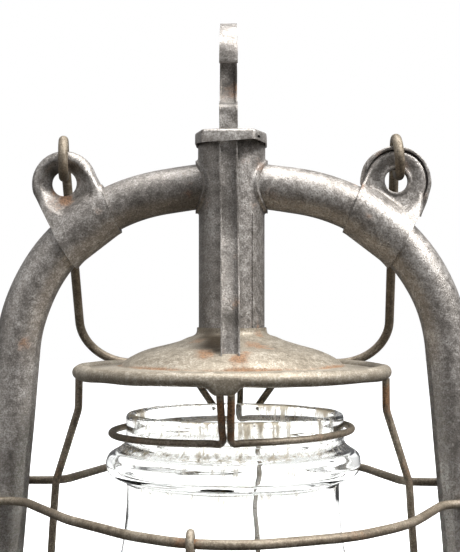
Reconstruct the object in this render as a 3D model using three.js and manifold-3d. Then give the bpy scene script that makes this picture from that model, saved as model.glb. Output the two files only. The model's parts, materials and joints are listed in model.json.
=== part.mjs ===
// A hot-blast tubular hanging lantern: two air tubes from the chimney to an air chamber,
// a hood that lifts with its glass globe, a wire bail, a fount and a flat-wick burner.
// Millimetres, +Z up, origin at the centre of the base, the front faces -Y.
import * as THREE from 'three';
import { mergeVertices } from 'three/addons/utils/BufferGeometryUtils.js';
import Module from 'manifold-3d';

const wasm = await Module();
wasm.setup();

// ---- driving dimensions ----
const GAP = 0.35;               // left between pieces that touch
const SHEET = 0.8;              // wall of the sheet-metal pieces
const ROUND_SIDES = 24;         // facets of the large turned pieces
const TUBE_SIDES = 12;          // facets of the air tubes and their collars
const WIRE_SIDES = 6;           // facets of a wire

const BASE_RADIUS = 59.4;
const FOUNT_RADIUS = 58;
const FOUNT_BOTTOM = 1.6;
const FOUNT_TOP = 34;
const NECK_RADIUS = 15.2;       // neck of the fount, which carries the burner
const NECK_TOP = 40;

const FILLER_REACH = 51.2;      // filler neck: distance from the axis
const FILLER_TURN = -50 * Math.PI / 180;
const FILLER_RADIUS = 7;
const FILLER_TOP = 38;

const CHAMBER_RADIUS = 42;
const CHAMBER_BOTTOM = 34.4;
const CHAMBER_TOP = 57.6;

const TUBE_RADIUS = 8;
const TUBE_LOW = 46;            // height at which the air tubes enter the chamber
const TUBE_HIGH = 243.7;        // height at which they leave the chimney
const TUBE_INNER_END = 38.5;
const TUBE_STEPS = 22;
const SHOULDER_CORNER = [72.5, 234.8];
const SHOULDER_RADIUS = 62;
const FOOT_CORNER = [88.8, TUBE_LOW];
const FOOT_RADIUS = 34;

const CHIMNEY_RADIUS = 11.75;
const CHIMNEY_BOTTOM = 186;
const CHIMNEY_TOP = 260.2;
const COLLAR_RADIUS = 9.4;      // pulled collar round each air tube
const COLLAR_REACH = 12.9;      // how far the collar's rim stands from the lantern's axis

const CAP_HALF_WIDTH = 12.9;
const CAP_FRONT = 17.3;
const CAP_FRONT_HALF = 9.2;
const CAP_BOTTOM = 256.7;
const CAP_TOP = 261.4;

const EAR_X = 59.2;
const EAR_Z = 245.4;
const EAR_HOLE_RADIUS = 4.6;
const EAR_RADIUS = 11.5;
const EAR_HALF_THICKNESS = 2.8;
const EAR_SEAT_FROM = 63.2;     // degrees round the shoulder that the ear's sleeve covers
const EAR_SEAT_TO = 42.3;

const BAIL_WIRE = 1.75;
const BAIL_PIVOT_Z = 253.6;
const BAIL_EYE_X = 59.6;
const BAIL_EYE_RADIUS = 6.5;
const BAIL_EYE_SWEEP = 310;     // degrees of the bail's open eye
const BAIL_BAR_X = 62.5;
const BAIL_BAR_Y = 58.7;        // where the bar rests, just behind the hood's rim
const BAIL_BAR_Z = 178;
const BAIL_BEND = 15;

const GUARD_WIRE = 1.5;
const GUARD_Z = 132.4;
const BACK_GUARD_Z = 136.8;
const GUARD_OUT = 85;
const GUARD_TOUCH = TUBE_RADIUS + GAP + GUARD_WIRE + 0.05;
const UPRIGHT_WIRE = 1.2;
const UPRIGHT_X = 9.1;
const UPRIGHT_HOOK = GUARD_WIRE + UPRIGHT_WIRE + GAP;
const GUARD_DEPTH = 78.3;       // guard wires: distance from the axis at the uprights

const RIM_RADIUS = 54.1;        // centre of the hood's rolled rim
const RIM_Z = 177.5;
const RIM_WIRE = 2;
const HOOD_BORE = 12.35;
const NECK_RING_RADIUS = 42.6;
const NECK_RING_Z = 156.8;
const NECK_WIRE = 1.2;
const LIFT_WIRE = 1.35;

const STRAP_X = -0.6;           // the strap stands a little left of the centre
const STRAP_WIDTH = 6.4;
const STRAP_Y = -14;
const STRAP_THICK = 0.9;
const FLANGE_DEPTH = 2.1;
const HOOK_THICK = 1.6;
const HOOK_RADIUS = 14.9;
const HOOK_Z = 285.4;

const PLATE_BOTTOM = 58;
const PLATE_TOP = 58.9;
const PLATE_RADIUS = 51;
const GLOBE_BOTTOM = 59.25;
const GLOBE_TOP = 163;
const GLOBE_WALL = 3;

const WICK_HALF_WIDTH = 6.4;
const SHAFT_X = -4.4;
const SHAFT_Z = 48;
const SHAFT_RADIUS = 1;
const SPUR_RADIUS = 3.4;
const SPUR_OFFSET = 3.5;        // each spur wheel from the middle of the wick
const THUMB_WHEEL_RADIUS = 8;
const THUMB_WHEEL_Y = -63;

// ---- finishes ----
const finish = (color, roughness, metalness) => new THREE.MeshStandardMaterial({
  color, roughness, metalness,
});
const STEEL = finish(0x8b8983, 0.55, 0.75);
const DARK_STEEL = finish(0x6f6b62, 0.6, 0.7);
const WIRE = finish(0x6b6153, 0.6, 0.65);
const BRASS = finish(0xa58a4c, 0.45, 0.85);
const WICK_COTTON = finish(0xd9d0bb, 0.95, 0);
const CORK = finish(0x8c6a45, 0.9, 0);
const GLASS = new THREE.MeshStandardMaterial({
  color: 0xf2f5f2, roughness: 0.05, metalness: 0, transparent: true, opacity: 0.35,
});

// ---- geometry helpers ----
const at = (x, y, z) => new THREE.Vector3(x, y, z);

function signedVolume(position, index) {
  const [a, b, c] = [at(0, 0, 0), at(0, 0, 0), at(0, 0, 0)];
  let volume = 0;
  for (let i = 0; i < index.length; i += 3) {
    a.fromBufferAttribute(position, index[i]);
    b.fromBufferAttribute(position, index[i + 1]);
    c.fromBufferAttribute(position, index[i + 2]);
    volume += a.dot(b.cross(c)) / 6;
  }
  return volume;
}

// Shared vertices, no collapsed triangles, and faces pointing outwards.
function closed(geometry) {
  const bare = new THREE.BufferGeometry();
  bare.setAttribute('position', geometry.getAttribute('position'));
  bare.setIndex(geometry.index);
  const merged = mergeVertices(bare, 1e-4);
  const index = merged.index.array;
  const kept = [];
  for (let i = 0; i < index.length; i += 3) {
    const [a, b, c] = [index[i], index[i + 1], index[i + 2]];
    if (a !== b && b !== c && c !== a) kept.push(a, b, c);
  }
  if (signedVolume(merged.getAttribute('position'), kept) < 0) kept.reverse();
  merged.setIndex(kept);
  return merged;
}

function solid(geometry) {
  const vertProperties = new Float32Array(geometry.getAttribute('position').array);
  const triVerts = new Uint32Array(geometry.index.array);
  return new wasm.Manifold(new wasm.Mesh({ numProp: 3, vertProperties, triVerts }));
}

function geometryOf(body) {
  const mesh = body.getMesh();
  const geometry = new THREE.BufferGeometry();
  geometry.setAttribute('position', new THREE.BufferAttribute(mesh.vertProperties, 3));
  geometry.setIndex(new THREE.BufferAttribute(mesh.triVerts, 1));
  return geometry;
}

// Adds and cuts closed geometries.
function shaped(base, { add = [], cut = [] }) {
  let body = solid(base);
  for (const geometry of add) body = body.add(solid(geometry));
  for (const geometry of cut) body = body.subtract(solid(geometry));
  return geometryOf(body);
}

const mirrored = (geometry) => closed(geometry.clone().scale(-1, 1, 1));

// A radius whose faceted bore clears a round of the given radius by the usual gap.
const boreFor = (radius, sides) => (radius + GAP) / Math.cos(Math.PI / sides);

// A body turned about +Z from [radius, height] points.
function turned(profile, sides = ROUND_SIDES) {
  const points = profile.map(([radius, height]) => new THREE.Vector2(radius, height));
  return closed(new THREE.LatheGeometry(points, sides).rotateX(Math.PI / 2));
}

// The same for a ring, whose outline closes on itself.
const turnedRing = (profile, sides) => turned([...profile, profile[0]], sides);

const disc = (radius, bottom, top, sides = ROUND_SIDES) => turned(
  [[0, bottom], [radius, bottom], [radius, top], [0, top]], sides,
);

function block(width, depth, height, x, y, z) {
  return closed(new THREE.BoxGeometry(width, depth, height).translate(x, y, z));
}

function circlePoints(radius, sides) {
  const points = [];
  for (let i = 0; i < sides; i += 1) {
    const turn = (i / sides) * 2 * Math.PI;
    points.push(new THREE.Vector2(radius * Math.cos(turn), radius * Math.sin(turn)));
  }
  return points;
}

// A round bar along a path.
function bar(path, radius, steps, sides = WIRE_SIDES) {
  const section = new THREE.Shape(circlePoints(radius, sides));
  const settings = { extrudePath: path, steps, bevelEnabled: false, curveSegments: 1 };
  return closed(new THREE.ExtrudeGeometry(section, settings));
}

const straightBar = (from, to, radius, sides) => bar(
  new THREE.LineCurve3(from, to), radius, 1, sides,
);

// An outline in the X-Z plane, given thickness along Y about y = 0.
function plateXZ(outline, thickness) {
  const shape = new THREE.Shape(outline.map(([x, z]) => new THREE.Vector2(x, z)));
  const settings = { depth: thickness, bevelEnabled: false, curveSegments: 1 };
  const geometry = new THREE.ExtrudeGeometry(shape, settings);
  return closed(geometry.rotateX(Math.PI / 2).translate(0, thickness / 2, 0));
}

// An outline in the Y-Z plane, given width along X about the strap's middle.
function plateYZ(outline, width, middle) {
  const shape = new THREE.Shape(outline);
  const settings = { depth: width, bevelEnabled: false, curveSegments: 1 };
  const geometry = new THREE.ExtrudeGeometry(shape, settings);
  const turn = new THREE.Matrix4().makeBasis(at(0, 1, 0), at(0, 0, 1), at(1, 0, 0));
  return closed(geometry.applyMatrix4(turn).translate(middle - width / 2, 0, 0));
}

// A round bend that joins two straight runs at a corner.
class Bend extends THREE.Curve {
  constructor(before, corner, after, radius) {
    super();
    const back = before.clone().sub(corner).normalize();
    const ahead = after.clone().sub(corner).normalize();
    const half = back.angleTo(ahead) / 2;
    const reach = radius / Math.tan(half);
    const middle = back.clone().add(ahead).normalize();
    this.radius = radius;
    this.sweep = Math.PI - 2 * half;
    this.start = corner.clone().addScaledVector(back, reach);
    this.end = corner.clone().addScaledVector(ahead, reach);
    this.centre = corner.clone().addScaledVector(middle, radius / Math.sin(half));
    this.first = this.start.clone().sub(this.centre).normalize();
    const last = this.end.clone().sub(this.centre).normalize();
    this.second = last.addScaledVector(this.first, -last.dot(this.first)).normalize();
  }

  getPoint(t, target = new THREE.Vector3()) {
    const turn = this.sweep * t;
    target.copy(this.centre).addScaledVector(this.first, this.radius * Math.cos(turn));
    return target.addScaledVector(this.second, this.radius * Math.sin(turn));
  }
}

// Straight runs through the corners, with a round bend at each: radii has one per corner.
function bentPath(corners, radii) {
  const path = new THREE.CurvePath();
  let from = corners[0];
  for (let i = 1; i < corners.length - 1; i += 1) {
    const bend = new Bend(corners[i - 1], corners[i], corners[i + 1], radii[i - 1]);
    path.add(new THREE.LineCurve3(from, bend.start));
    path.add(bend);
    from = bend.end;
  }
  path.add(new THREE.LineCurve3(from, corners.at(-1)));
  return path;
}

// Points of an arc in a plane, for outlines.
function arcPoints(centreU, centreV, radius, fromDegrees, toDegrees, steps) {
  const points = [];
  for (let i = 0; i <= steps; i += 1) {
    const turn = (fromDegrees + ((toDegrees - fromDegrees) * i) / steps) * Math.PI / 180;
    points.push([centreU + radius * Math.cos(turn), centreV + radius * Math.sin(turn)]);
  }
  return points;
}

// ---- base, fount and filler ----
function baseRing() {
  return turnedRing([
    [52, 0], [58.6, 0], [BASE_RADIUS, 0.8], [BASE_RADIUS, 6], [58.45, 6], [58.45, 1.2], [52, 1.2],
  ]);
}

const FOUNT_OUTSIDE = [
  [0, FOUNT_BOTTOM], [56, FOUNT_BOTTOM], [FOUNT_RADIUS, 3.4], [FOUNT_RADIUS, 24], [56, 29],
  [50, 32.4], [41, FOUNT_TOP], [NECK_RADIUS, FOUNT_TOP],
];

const fillerAt = (geometry) => geometry.translate(
  FILLER_REACH * Math.cos(FILLER_TURN), FILLER_REACH * Math.sin(FILLER_TURN), 0,
);

function fount() {
  const shell = turned([
    ...FOUNT_OUTSIDE, [NECK_RADIUS, NECK_TOP], [14.2, NECK_TOP], [14.2, FOUNT_TOP - 1],
    [40.8, FOUNT_TOP - 1], [49.5, 31.4], [55.2, 28.3], [57, 23.6], [57, 4], [55.4, 2.6],
    [0, 2.6],
  ]);
  return shaped(shell, { cut: [fillerAt(disc(5.8, 20, FILLER_TOP, 12))] });
}

function fillerNeck() {
  const tube = fillerAt(turnedRing([
    [5.8, 25], [FILLER_RADIUS, 25], [FILLER_RADIUS, FILLER_TOP], [5.8, FILLER_TOP],
  ], 16));
  const shoulder = FOUNT_OUTSIDE.map(([radius, height]) => [
    radius === 0 ? 0 : radius + GAP, height + GAP,
  ]);
  return shaped(tube, { cut: [turned([...shoulder, [0, FOUNT_TOP + GAP]])] });
}

const fillerGasket = () => fillerAt(disc(6.6, FILLER_TOP + GAP, FILLER_TOP + 1.25, 16));

function fillerCap() {
  const [bore, skirt] = [boreFor(FILLER_RADIUS, 16), 8.6];
  return fillerAt(turned([
    [0, FILLER_TOP + 1.6], [bore, FILLER_TOP + 1.6], [bore, 35.2], [skirt, 35.2],
    [skirt, FILLER_TOP + 2.2], [skirt - 1, FILLER_TOP + 2.8], [0, FILLER_TOP + 2.8],
  ], 16));
}

// ---- burner ----
function burnerCollar() {
  const bore = boreFor(NECK_RADIUS, ROUND_SIDES);
  return turnedRing([
    [bore, 35], [17.8, 35], [17.8, 41.4], [13.6, 41.4], [13.6, 40.5], [bore, 40.5],
  ]);
}

// The shaft's clearance through a wall, along Y.
const shaftHole = (fromY, toY) => straightBar(
  at(SHAFT_X, fromY, SHAFT_Z), at(SHAFT_X, toY, SHAFT_Z), boreFor(SHAFT_RADIUS, 8), 8,
);

function burnerBody() {
  const basket = turned([
    [0, 41.8], [16, 41.8], [18.5, 44], [18.5, 54], [17.7, 54], [17.7, 44.4], [15.7, 42.6],
    [0, 42.6],
  ]);
  const wickSlot = block(4, 16.4, 6, 0, 0, 42);
  return shaped(basket, { cut: [wickSlot, shaftHole(-25, 25)] });
}

function burnerCone() {
  const dome = turnedRing([
    [19.2, 54.4], [19.2, 59], [17.6, 65], [13.5, 70], [7, 73], [3, 73.5], [3, 72.7],
    [6.8, 72.2], [13, 69.4], [16.9, 64.7], [18.4, 59], [18.4, 54.4],
  ]);
  return shaped(dome, { cut: [block(4.6, 17, 12, 0, 0, 73)] });
}

function wickTube() {
  const [bottom, top] = [36.5, 67];
  const [middle, height] = [(bottom + top) / 2, top - bottom];
  const cut = [block(1.9, 13.8, height + 2, 0, 0, middle)];
  for (const side of [-1, 1]) {
    cut.push(block(1.6, 1.6, 8.4, -1.2, side * SPUR_OFFSET, SHAFT_Z));
  }
  return shaped(block(3.3, 15.4, height, 0, 0, middle), { cut });
}

const wick = () => block(1.2, 2 * WICK_HALF_WIDTH, 63.5, 0, 0, 37.75);

const wickShaft = () => straightBar(
  at(SHAFT_X, 20.5, SHAFT_Z), at(SHAFT_X, -66, SHAFT_Z), SHAFT_RADIUS, 8,
);

// A wheel with the given outline on the shaft, at y.
function wheelOnShaft(outline, thickness, y) {
  const wheel = plateXZ(outline, thickness).translate(SHAFT_X, y, SHAFT_Z);
  return shaped(wheel, { cut: [shaftHole(y - thickness, y + thickness)] });
}

function spurWheel(y) {
  const teeth = 10;
  const outline = [];
  for (let i = 0; i < 2 * teeth; i += 1) {
    const radius = i % 2 ? 2.4 : SPUR_RADIUS;
    const turn = (i / teeth) * Math.PI;
    outline.push([radius * Math.cos(turn), radius * Math.sin(turn)]);
  }
  return wheelOnShaft(outline, SHEET, y);
}

const thumbWheel = () => wheelOnShaft(
  circlePoints(THUMB_WHEEL_RADIUS, 20).map((point) => [point.x, point.y]), 2.2, THUMB_WHEEL_Y,
);

// ---- air chamber, air tubes and chimney ----
function airChamber() {
  const inside = CHAMBER_RADIUS - SHEET;
  const drum = turnedRing([
    [20.5, CHAMBER_BOTTOM], [CHAMBER_RADIUS, CHAMBER_BOTTOM], [CHAMBER_RADIUS, CHAMBER_TOP],
    [37, CHAMBER_TOP], [37, CHAMBER_TOP - SHEET], [inside, CHAMBER_TOP - SHEET],
    [inside, CHAMBER_BOTTOM + SHEET], [20.5, CHAMBER_BOTTOM + SHEET],
  ]);
  const tubeHole = straightBar(
    at(-60, 0, TUBE_LOW), at(60, 0, TUBE_LOW), boreFor(TUBE_RADIUS, TUBE_SIDES), TUBE_SIDES,
  );
  return shaped(drum, { cut: [tubeHole, shaftHole(-60, -20)] });
}

const tubeStart = at(9, 0, TUBE_HIGH);
const shoulderCorner = at(SHOULDER_CORNER[0], 0, SHOULDER_CORNER[1]);
const footCorner = at(FOOT_CORNER[0], 0, FOOT_CORNER[1]);
const tubeEnd = at(TUBE_INNER_END, 0, TUBE_LOW);
const shoulder = new Bend(tubeStart, shoulderCorner, footCorner, SHOULDER_RADIUS);

function airTube() {
  const corners = [tubeStart, shoulderCorner, footCorner, tubeEnd];
  const path = bentPath(corners, [SHOULDER_RADIUS, FOOT_RADIUS]);
  const outside = bar(path, TUBE_RADIUS, TUBE_STEPS, TUBE_SIDES);
  const inside = bar(path, TUBE_RADIUS - SHEET, TUBE_STEPS, TUBE_SIDES);
  const chimneyRoom = disc(CHIMNEY_RADIUS - SHEET + GAP, 225, 265);
  return shaped(outside, { cut: [inside, chimneyRoom] });
}

// A round bar along the first, straight run of both air tubes.
function throughTubeMouths(side, radius) {
  const slope = tubeStart.clone().sub(shoulderCorner).normalize();
  const from = tubeStart.clone().addScaledVector(slope, 8);
  const to = tubeStart.clone().addScaledVector(slope, -9);
  from.x *= side;
  to.x *= side;
  return straightBar(from, to, radius, TUBE_SIDES);
}

function chimneyTube() {
  const reach = solid(disc(COLLAR_REACH, 225, 259));
  let tube = solid(disc(CHIMNEY_RADIUS, CHIMNEY_BOTTOM, CHIMNEY_TOP));
  const cut = [disc(CHIMNEY_RADIUS - SHEET, CHIMNEY_BOTTOM - 1, CHIMNEY_TOP + 1)];
  for (const side of [-1, 1]) {
    const collar = solid(throughTubeMouths(side, COLLAR_RADIUS)).intersect(reach);
    tube = tube.add(collar);
    cut.push(throughTubeMouths(side, boreFor(TUBE_RADIUS, TUBE_SIDES)));
  }
  return shaped(geometryOf(tube), { cut });
}

// The cap's outline from above, with a straight front that stands clear of the strap.
function capOutline(inset) {
  const half = CAP_HALF_WIDTH - inset;
  const front = -(CAP_FRONT - inset);
  const frontHalf = CAP_FRONT_HALF - inset / 2;
  return [
    ...arcPoints(0, 0, half, 0, 180, 12), [-half, -8.5], [STRAP_X - frontHalf, front],
    [STRAP_X + frontHalf, front], [half, -8.5],
  ];
}

function capBlock(inset, bottom, top) {
  const shape = new THREE.Shape(capOutline(inset).map(([x, y]) => new THREE.Vector2(x, y)));
  const settings = { depth: top - bottom, bevelEnabled: false, curveSegments: 1 };
  return closed(new THREE.ExtrudeGeometry(shape, settings).translate(0, 0, bottom));
}

function topCap() {
  const inside = capBlock(SHEET, CAP_BOTTOM - 1, CAP_TOP - SHEET);
  const strapSlot = block(STRAP_WIDTH + 1, 4, 6, STRAP_X, -14.5, CAP_TOP);
  return shaped(capBlock(0, CAP_BOTTOM, CAP_TOP), { cut: [inside, strapSlot] });
}

// ---- bail ears and bail ----
// The part of the air tube's shoulder that an ear is wrapped round.
class EarSeat extends THREE.Curve {
  getPoint(t, target = new THREE.Vector3()) {
    const turn = (EAR_SEAT_FROM + (EAR_SEAT_TO - EAR_SEAT_FROM) * t) * Math.PI / 180;
    const [across, up] = [SHOULDER_RADIUS * Math.cos(turn), SHOULDER_RADIUS * Math.sin(turn)];
    return target.set(shoulder.centre.x + across, 0, shoulder.centre.z + up);
  }
}

function bailEar() {
  const middle = (EAR_RADIUS + EAR_HOLE_RADIUS) / 2;
  const half = (EAR_RADIUS - EAR_HOLE_RADIUS) / 2;
  const section = [];
  for (const point of circlePoints(1, 8)) {
    section.push([middle + half * point.x, EAR_HALF_THICKNESS * point.y]);
  }
  const ring = turnedRing(section, 16).rotateX(Math.PI / 2).translate(EAR_X, 0, EAR_Z);
  const neck = plateXZ([
    [70.6, 243.5], [65.6, 230], [56, 227], [47, 234], [46.6, 243], [49.4, 250.8],
  ], 2 * EAR_HALF_THICKNESS - 0.6);
  const sleeve = bar(new EarSeat(), TUBE_RADIUS + GAP + 1.1, 5, TUBE_SIDES);
  const hole = straightBar(at(EAR_X, -9, EAR_Z), at(EAR_X, 9, EAR_Z), EAR_HOLE_RADIUS, 16);
  const corners = [tubeStart, shoulderCorner, footCorner];
  const tubeRoom = bar(
    bentPath(corners, [SHOULDER_RADIUS]), boreFor(TUBE_RADIUS, TUBE_SIDES), TUBE_STEPS, TUBE_SIDES,
  );
  return shaped(closed(ring), { add: [neck, sleeve], cut: [hole, tubeRoom] });
}

// The centre line of the bail's eye, from its open end to where the arm leaves it.
function bailEye() {
  const [run, drop] = [BAIL_BAR_Y, BAIL_PIVOT_Z - BAIL_BAR_Z];
  const lean = Math.atan2(run, drop) - Math.asin(BAIL_EYE_RADIUS / Math.hypot(run, drop));
  const first = lean * 180 / Math.PI;
  return arcPoints(0, BAIL_PIVOT_Z, BAIL_EYE_RADIUS, first + BAIL_EYE_SWEEP, first, 14).map(
    ([y, z]) => at(BAIL_EYE_X, y, z),
  );
}

function bail() {
  const eye = bailEye();
  const corner = at(BAIL_BAR_X, BAIL_BAR_Y, BAIL_BAR_Z);
  const opposite = at(-BAIL_BAR_X, BAIL_BAR_Y, BAIL_BAR_Z);
  const bend = new Bend(eye.at(-1), corner, opposite, BAIL_BEND);
  const half = [...eye];
  for (const share of [0.33, 0.66]) half.push(eye.at(-1).clone().lerp(bend.start, share));
  for (let i = 0; i <= 6; i += 1) half.push(bend.getPoint(i / 6));
  const otherHalf = half.map((point) => at(-point.x, point.y, point.z)).reverse();
  const path = new THREE.CatmullRomCurve3([...half, ...otherHalf], false, 'centripetal');
  return bar(path, BAIL_WIRE, 64);
}

// ---- guard wires ----
function frontGuardWire() {
  const corners = [
    [-GUARD_OUT, -GUARD_TOUCH], [-72.5, -GUARD_TOUCH], [-50.6, -43.9], [-28.6, -67.2], [-2, -84.9],
    [38.3, -67.2], [56.9, -48.8], [74, -GUARD_TOUCH], [GUARD_OUT, -GUARD_TOUCH],
  ];
  const path = bentPath(corners.map(([x, y]) => at(x, y, GUARD_Z)), [10, 60, 60, 35, 40, 50, 10]);
  return bar(path, GUARD_WIRE, 26);
}

function backGuardWire() {
  const corners = [
    [-GUARD_OUT, GUARD_TOUCH], [-62.5, GUARD_TOUCH], [-50, 48], [-28, GUARD_DEPTH],
    [28, GUARD_DEPTH], [50, 48], [62.5, GUARD_TOUCH], [GUARD_OUT, GUARD_TOUCH],
  ];
  const path = bentPath(corners.map(([x, y]) => at(x, y, BACK_GUARD_Z)), [8, 50, 36, 36, 50, 8]);
  return bar(path, GUARD_WIRE, 26);
}

// An upright from the air chamber, hooked over a guard wire from inside: out is -1 or +1.
function uprightWire(out, guardZ) {
  const x = out * UPRIGHT_X;
  const inside = out * (GUARD_DEPTH - UPRIGHT_HOOK);
  const outside = out * (GUARD_DEPTH + UPRIGHT_HOOK);
  const top = guardZ + UPRIGHT_HOOK;
  const corners = [
    at(x, out * 42.4, 45), at(x, inside, 76), at(x, inside, top), at(x, outside, top),
    at(x, outside, guardZ - 2),
  ];
  const bend = UPRIGHT_HOOK - 0.05;
  return bar(bentPath(corners, [20, bend, bend]), UPRIGHT_WIRE, 30);
}

// ---- hood ----
const HOOD_OUTSIDE = [
  [HOOD_BORE, 192.8], [13.1, 191.1], [15.9, 189.7], [18.4, 188.4], [23.4, 187.2], [35.5, 182.9],
  [39.5, 180.3],
];

function hoodPlate() {
  const bead = arcPoints(RIM_RADIUS, RIM_Z, RIM_WIRE, 100, -190, 7);
  const underside = [
    [39.4, 179.4], [35.2, 182], [23.2, 186.3], [18.2, 187.5], [15.5, 188.8], [12.9, 190.1],
    [HOOD_BORE, 190.4],
  ];
  const plate = turnedRing([...HOOD_OUTSIDE, ...bead, ...underside]);
  const tab = plateXZ([[-5.4, 177], [-3.1, 173], [3.1, 173], [5.4, 177]], 1.2);
  return shaped(plate, { add: [tab.translate(0, -RIM_RADIUS - 0.6, 0)] });
}

// The strap's centre line from its foot on the hood to the tip of the hook, as [y, z].
const strapRun = [[-31.4, 183.2], [STRAP_Y, 229], [STRAP_Y, 268]];

// A strip that follows a line, between two distances from it.
function stripAlong(line, from, to) {
  const edge = (offset) => line.map((point, i) => {
    const before = line[Math.max(i - 1, 0)];
    const after = line[Math.min(i + 1, line.length - 1)];
    const [dy, dz] = [after[0] - before[0], after[1] - before[1]];
    const length = Math.hypot(dy, dz);
    return new THREE.Vector2(point[0] - offset * dz / length, point[1] + offset * dy / length);
  });
  return [...edge(from), ...edge(to).reverse()];
}

function liftStrap() {
  const hook = arcPoints(0, HOOK_Z, HOOK_RADIUS, -113, 184, 22);
  const line = [...strapRun, [STRAP_Y + 0.6, 269.9], [STRAP_Y + 2.6, 270.8], ...hook];
  const webOutline = stripAlong(line.slice(0, 4), -STRAP_THICK / 2, STRAP_THICK / 2);
  const hookOutline = stripAlong(line.slice(2), -HOOK_THICK / 2, HOOK_THICK / 2);
  const flangeOutline = stripAlong([...strapRun.slice(0, 2), [STRAP_Y, 262]], 0, FLANGE_DEPTH);
  const add = [plateYZ(hookOutline, STRAP_WIDTH, STRAP_X)];
  for (const side of [-1, 1]) {
    const middle = STRAP_X + side * (STRAP_WIDTH - SHEET) / 2;
    add.push(plateYZ(flangeOutline, SHEET, middle));
  }
  const hoodRoom = turned([
    [0, 193 + GAP], ...HOOD_OUTSIDE.map(([radius, height]) => [radius, height + GAP]),
    [39.5, 176], [0, 176],
  ]);
  return shaped(plateYZ(webOutline, STRAP_WIDTH, STRAP_X), { add, cut: [hoodRoom] });
}

// Half of the wire ring round the globe's neck, with a leg up to the rim at the front and the back.
function neckWire(side) {
  const points = [at(side * 1.95, -RIM_RADIUS - 0.6, 171.4), at(side * 1.75, -47, 161.8)];
  const steps = 12;
  for (let i = 0; i <= steps; i += 1) {
    const turn = ((-87.6 + (175.2 * i) / steps) * Math.PI) / 180;
    const x = NECK_RING_RADIUS * Math.cos(turn);
    const lean = 0.8 * side * x / NECK_RING_RADIUS;
    points.push(at(side * x, NECK_RING_RADIUS * Math.sin(turn), NECK_RING_Z + lean));
  }
  points.push(at(side * 1.75, 46.6, 164), at(side * 1.75, RIM_RADIUS - 0.6, 174.2));
  return bar(new THREE.CatmullRomCurve3(points, false, 'centripetal'), NECK_WIRE, 28);
}

const backStrut = () => straightBar(
  at(17, 50.8, 174.4), at(8.2, 44.6, 160.4), LIFT_WIRE, WIRE_SIDES,
);

// A wire that hangs the globe plate from the hood's rim.
function liftWire() {
  const corners = [
    [54.8, 175.1], [55, 164], [63.1, 138], [66.2, 92], [62.5, 60.6], [46, 60.6],
  ];
  const path = bentPath(corners.map(([x, z]) => at(x, 0, z)), [12, 20, 60, 8]);
  return bar(path, LIFT_WIRE, 20);
}

// ---- globe and its plate ----
function globePlate() {
  const plate = turnedRing([
    [21.5, PLATE_BOTTOM], [PLATE_RADIUS, PLATE_BOTTOM], [PLATE_RADIUS, PLATE_TOP], [44, PLATE_TOP],
    [44, 62.4], [43.2, 62.4], [43.2, PLATE_TOP], [21.5, PLATE_TOP],
  ]);
  const cut = [];
  const holes = 10;
  for (let i = 0; i < holes; i += 1) {
    const turn = (i / holes) * 2 * Math.PI;
    cut.push(disc(2.1, 57, 60, 5).translate(31 * Math.cos(turn), 31 * Math.sin(turn), 0));
  }
  const wireRoom = block(2 * PLATE_RADIUS, 2 * LIFT_WIRE + 1, 4.4, 0, 0, PLATE_TOP + 2.35);
  return shaped(plate, { cut: [...cut, wireRoom] });
}

// The globe's outside from its foot to its rim.
const GLOBE_OUTSIDE = [
  [41, GLOBE_BOTTOM], [42.4, 66], [43.4, 78], [43, 92], [40, 113], [37.7, 134.5], [38.4, 139.5],
  [43.2, 141.6], [45.2, 145], [44, 149], [39.6, 152], [38.6, 154.5], [38.6, GLOBE_TOP],
];

function globe() {
  const inside = GLOBE_OUTSIDE.map(([radius, height]) => [radius - GLOBE_WALL, height]).reverse();
  return turnedRing([...GLOBE_OUTSIDE, ...inside]);
}

// ---- assembly ----
const lantern = new THREE.Group();

function place(name, geometry, material) {
  const mesh = new THREE.Mesh(geometry, material);
  mesh.name = name;
  lantern.add(mesh);
}

// A piece on the right and its mirror image on the left.
function placePair(name, geometry, material) {
  place(`right_${name}`, geometry, material);
  place(`left_${name}`, mirrored(geometry), material);
}

place('base_ring', baseRing(), STEEL);
place('fount', fount(), STEEL);
place('filler_neck', fillerNeck(), BRASS);
place('filler_gasket', fillerGasket(), CORK);
place('filler_cap', fillerCap(), BRASS);
place('burner_collar', burnerCollar(), BRASS);
place('burner_body', burnerBody(), BRASS);
place('burner_cone', burnerCone(), BRASS);
place('wick_tube', wickTube(), BRASS);
place('wick', wick(), WICK_COTTON);
place('wick_shaft', wickShaft(), DARK_STEEL);
place('front_spur_wheel', spurWheel(-SPUR_OFFSET), BRASS);
place('back_spur_wheel', spurWheel(SPUR_OFFSET), BRASS);
place('thumb_wheel', thumbWheel(), BRASS);
place('air_chamber', airChamber(), STEEL);
placePair('air_tube', airTube(), STEEL);
place('chimney_tube', chimneyTube(), STEEL);
place('top_cap', topCap(), STEEL);
placePair('bail_ear', bailEar(), STEEL);
place('bail', bail(), WIRE);
place('front_guard_wire', frontGuardWire(), WIRE);
place('back_guard_wire', backGuardWire(), WIRE);
place('front_upright_wire', uprightWire(-1, GUARD_Z), WIRE);
place('back_upright_wire', uprightWire(1, BACK_GUARD_Z), WIRE);
place('hood_plate', hoodPlate(), STEEL);
place('lift_strap', liftStrap(), STEEL);
place('right_neck_wire', neckWire(1), WIRE);
place('left_neck_wire', neckWire(-1), WIRE);
placePair('back_strut', backStrut(), WIRE);
placePair('lift_wire', liftWire(), WIRE);
place('globe_plate', globePlate(), STEEL);
place('globe', globe(), GLASS);

export default lantern;
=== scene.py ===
"""A hot-blast tubular hanging lantern: the detailed pieces and finishes that stand round its CAD frame."""
import json
import math

import bmesh
import bpy
import numpy as np
from mathutils import Matrix, Vector, noise


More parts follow.
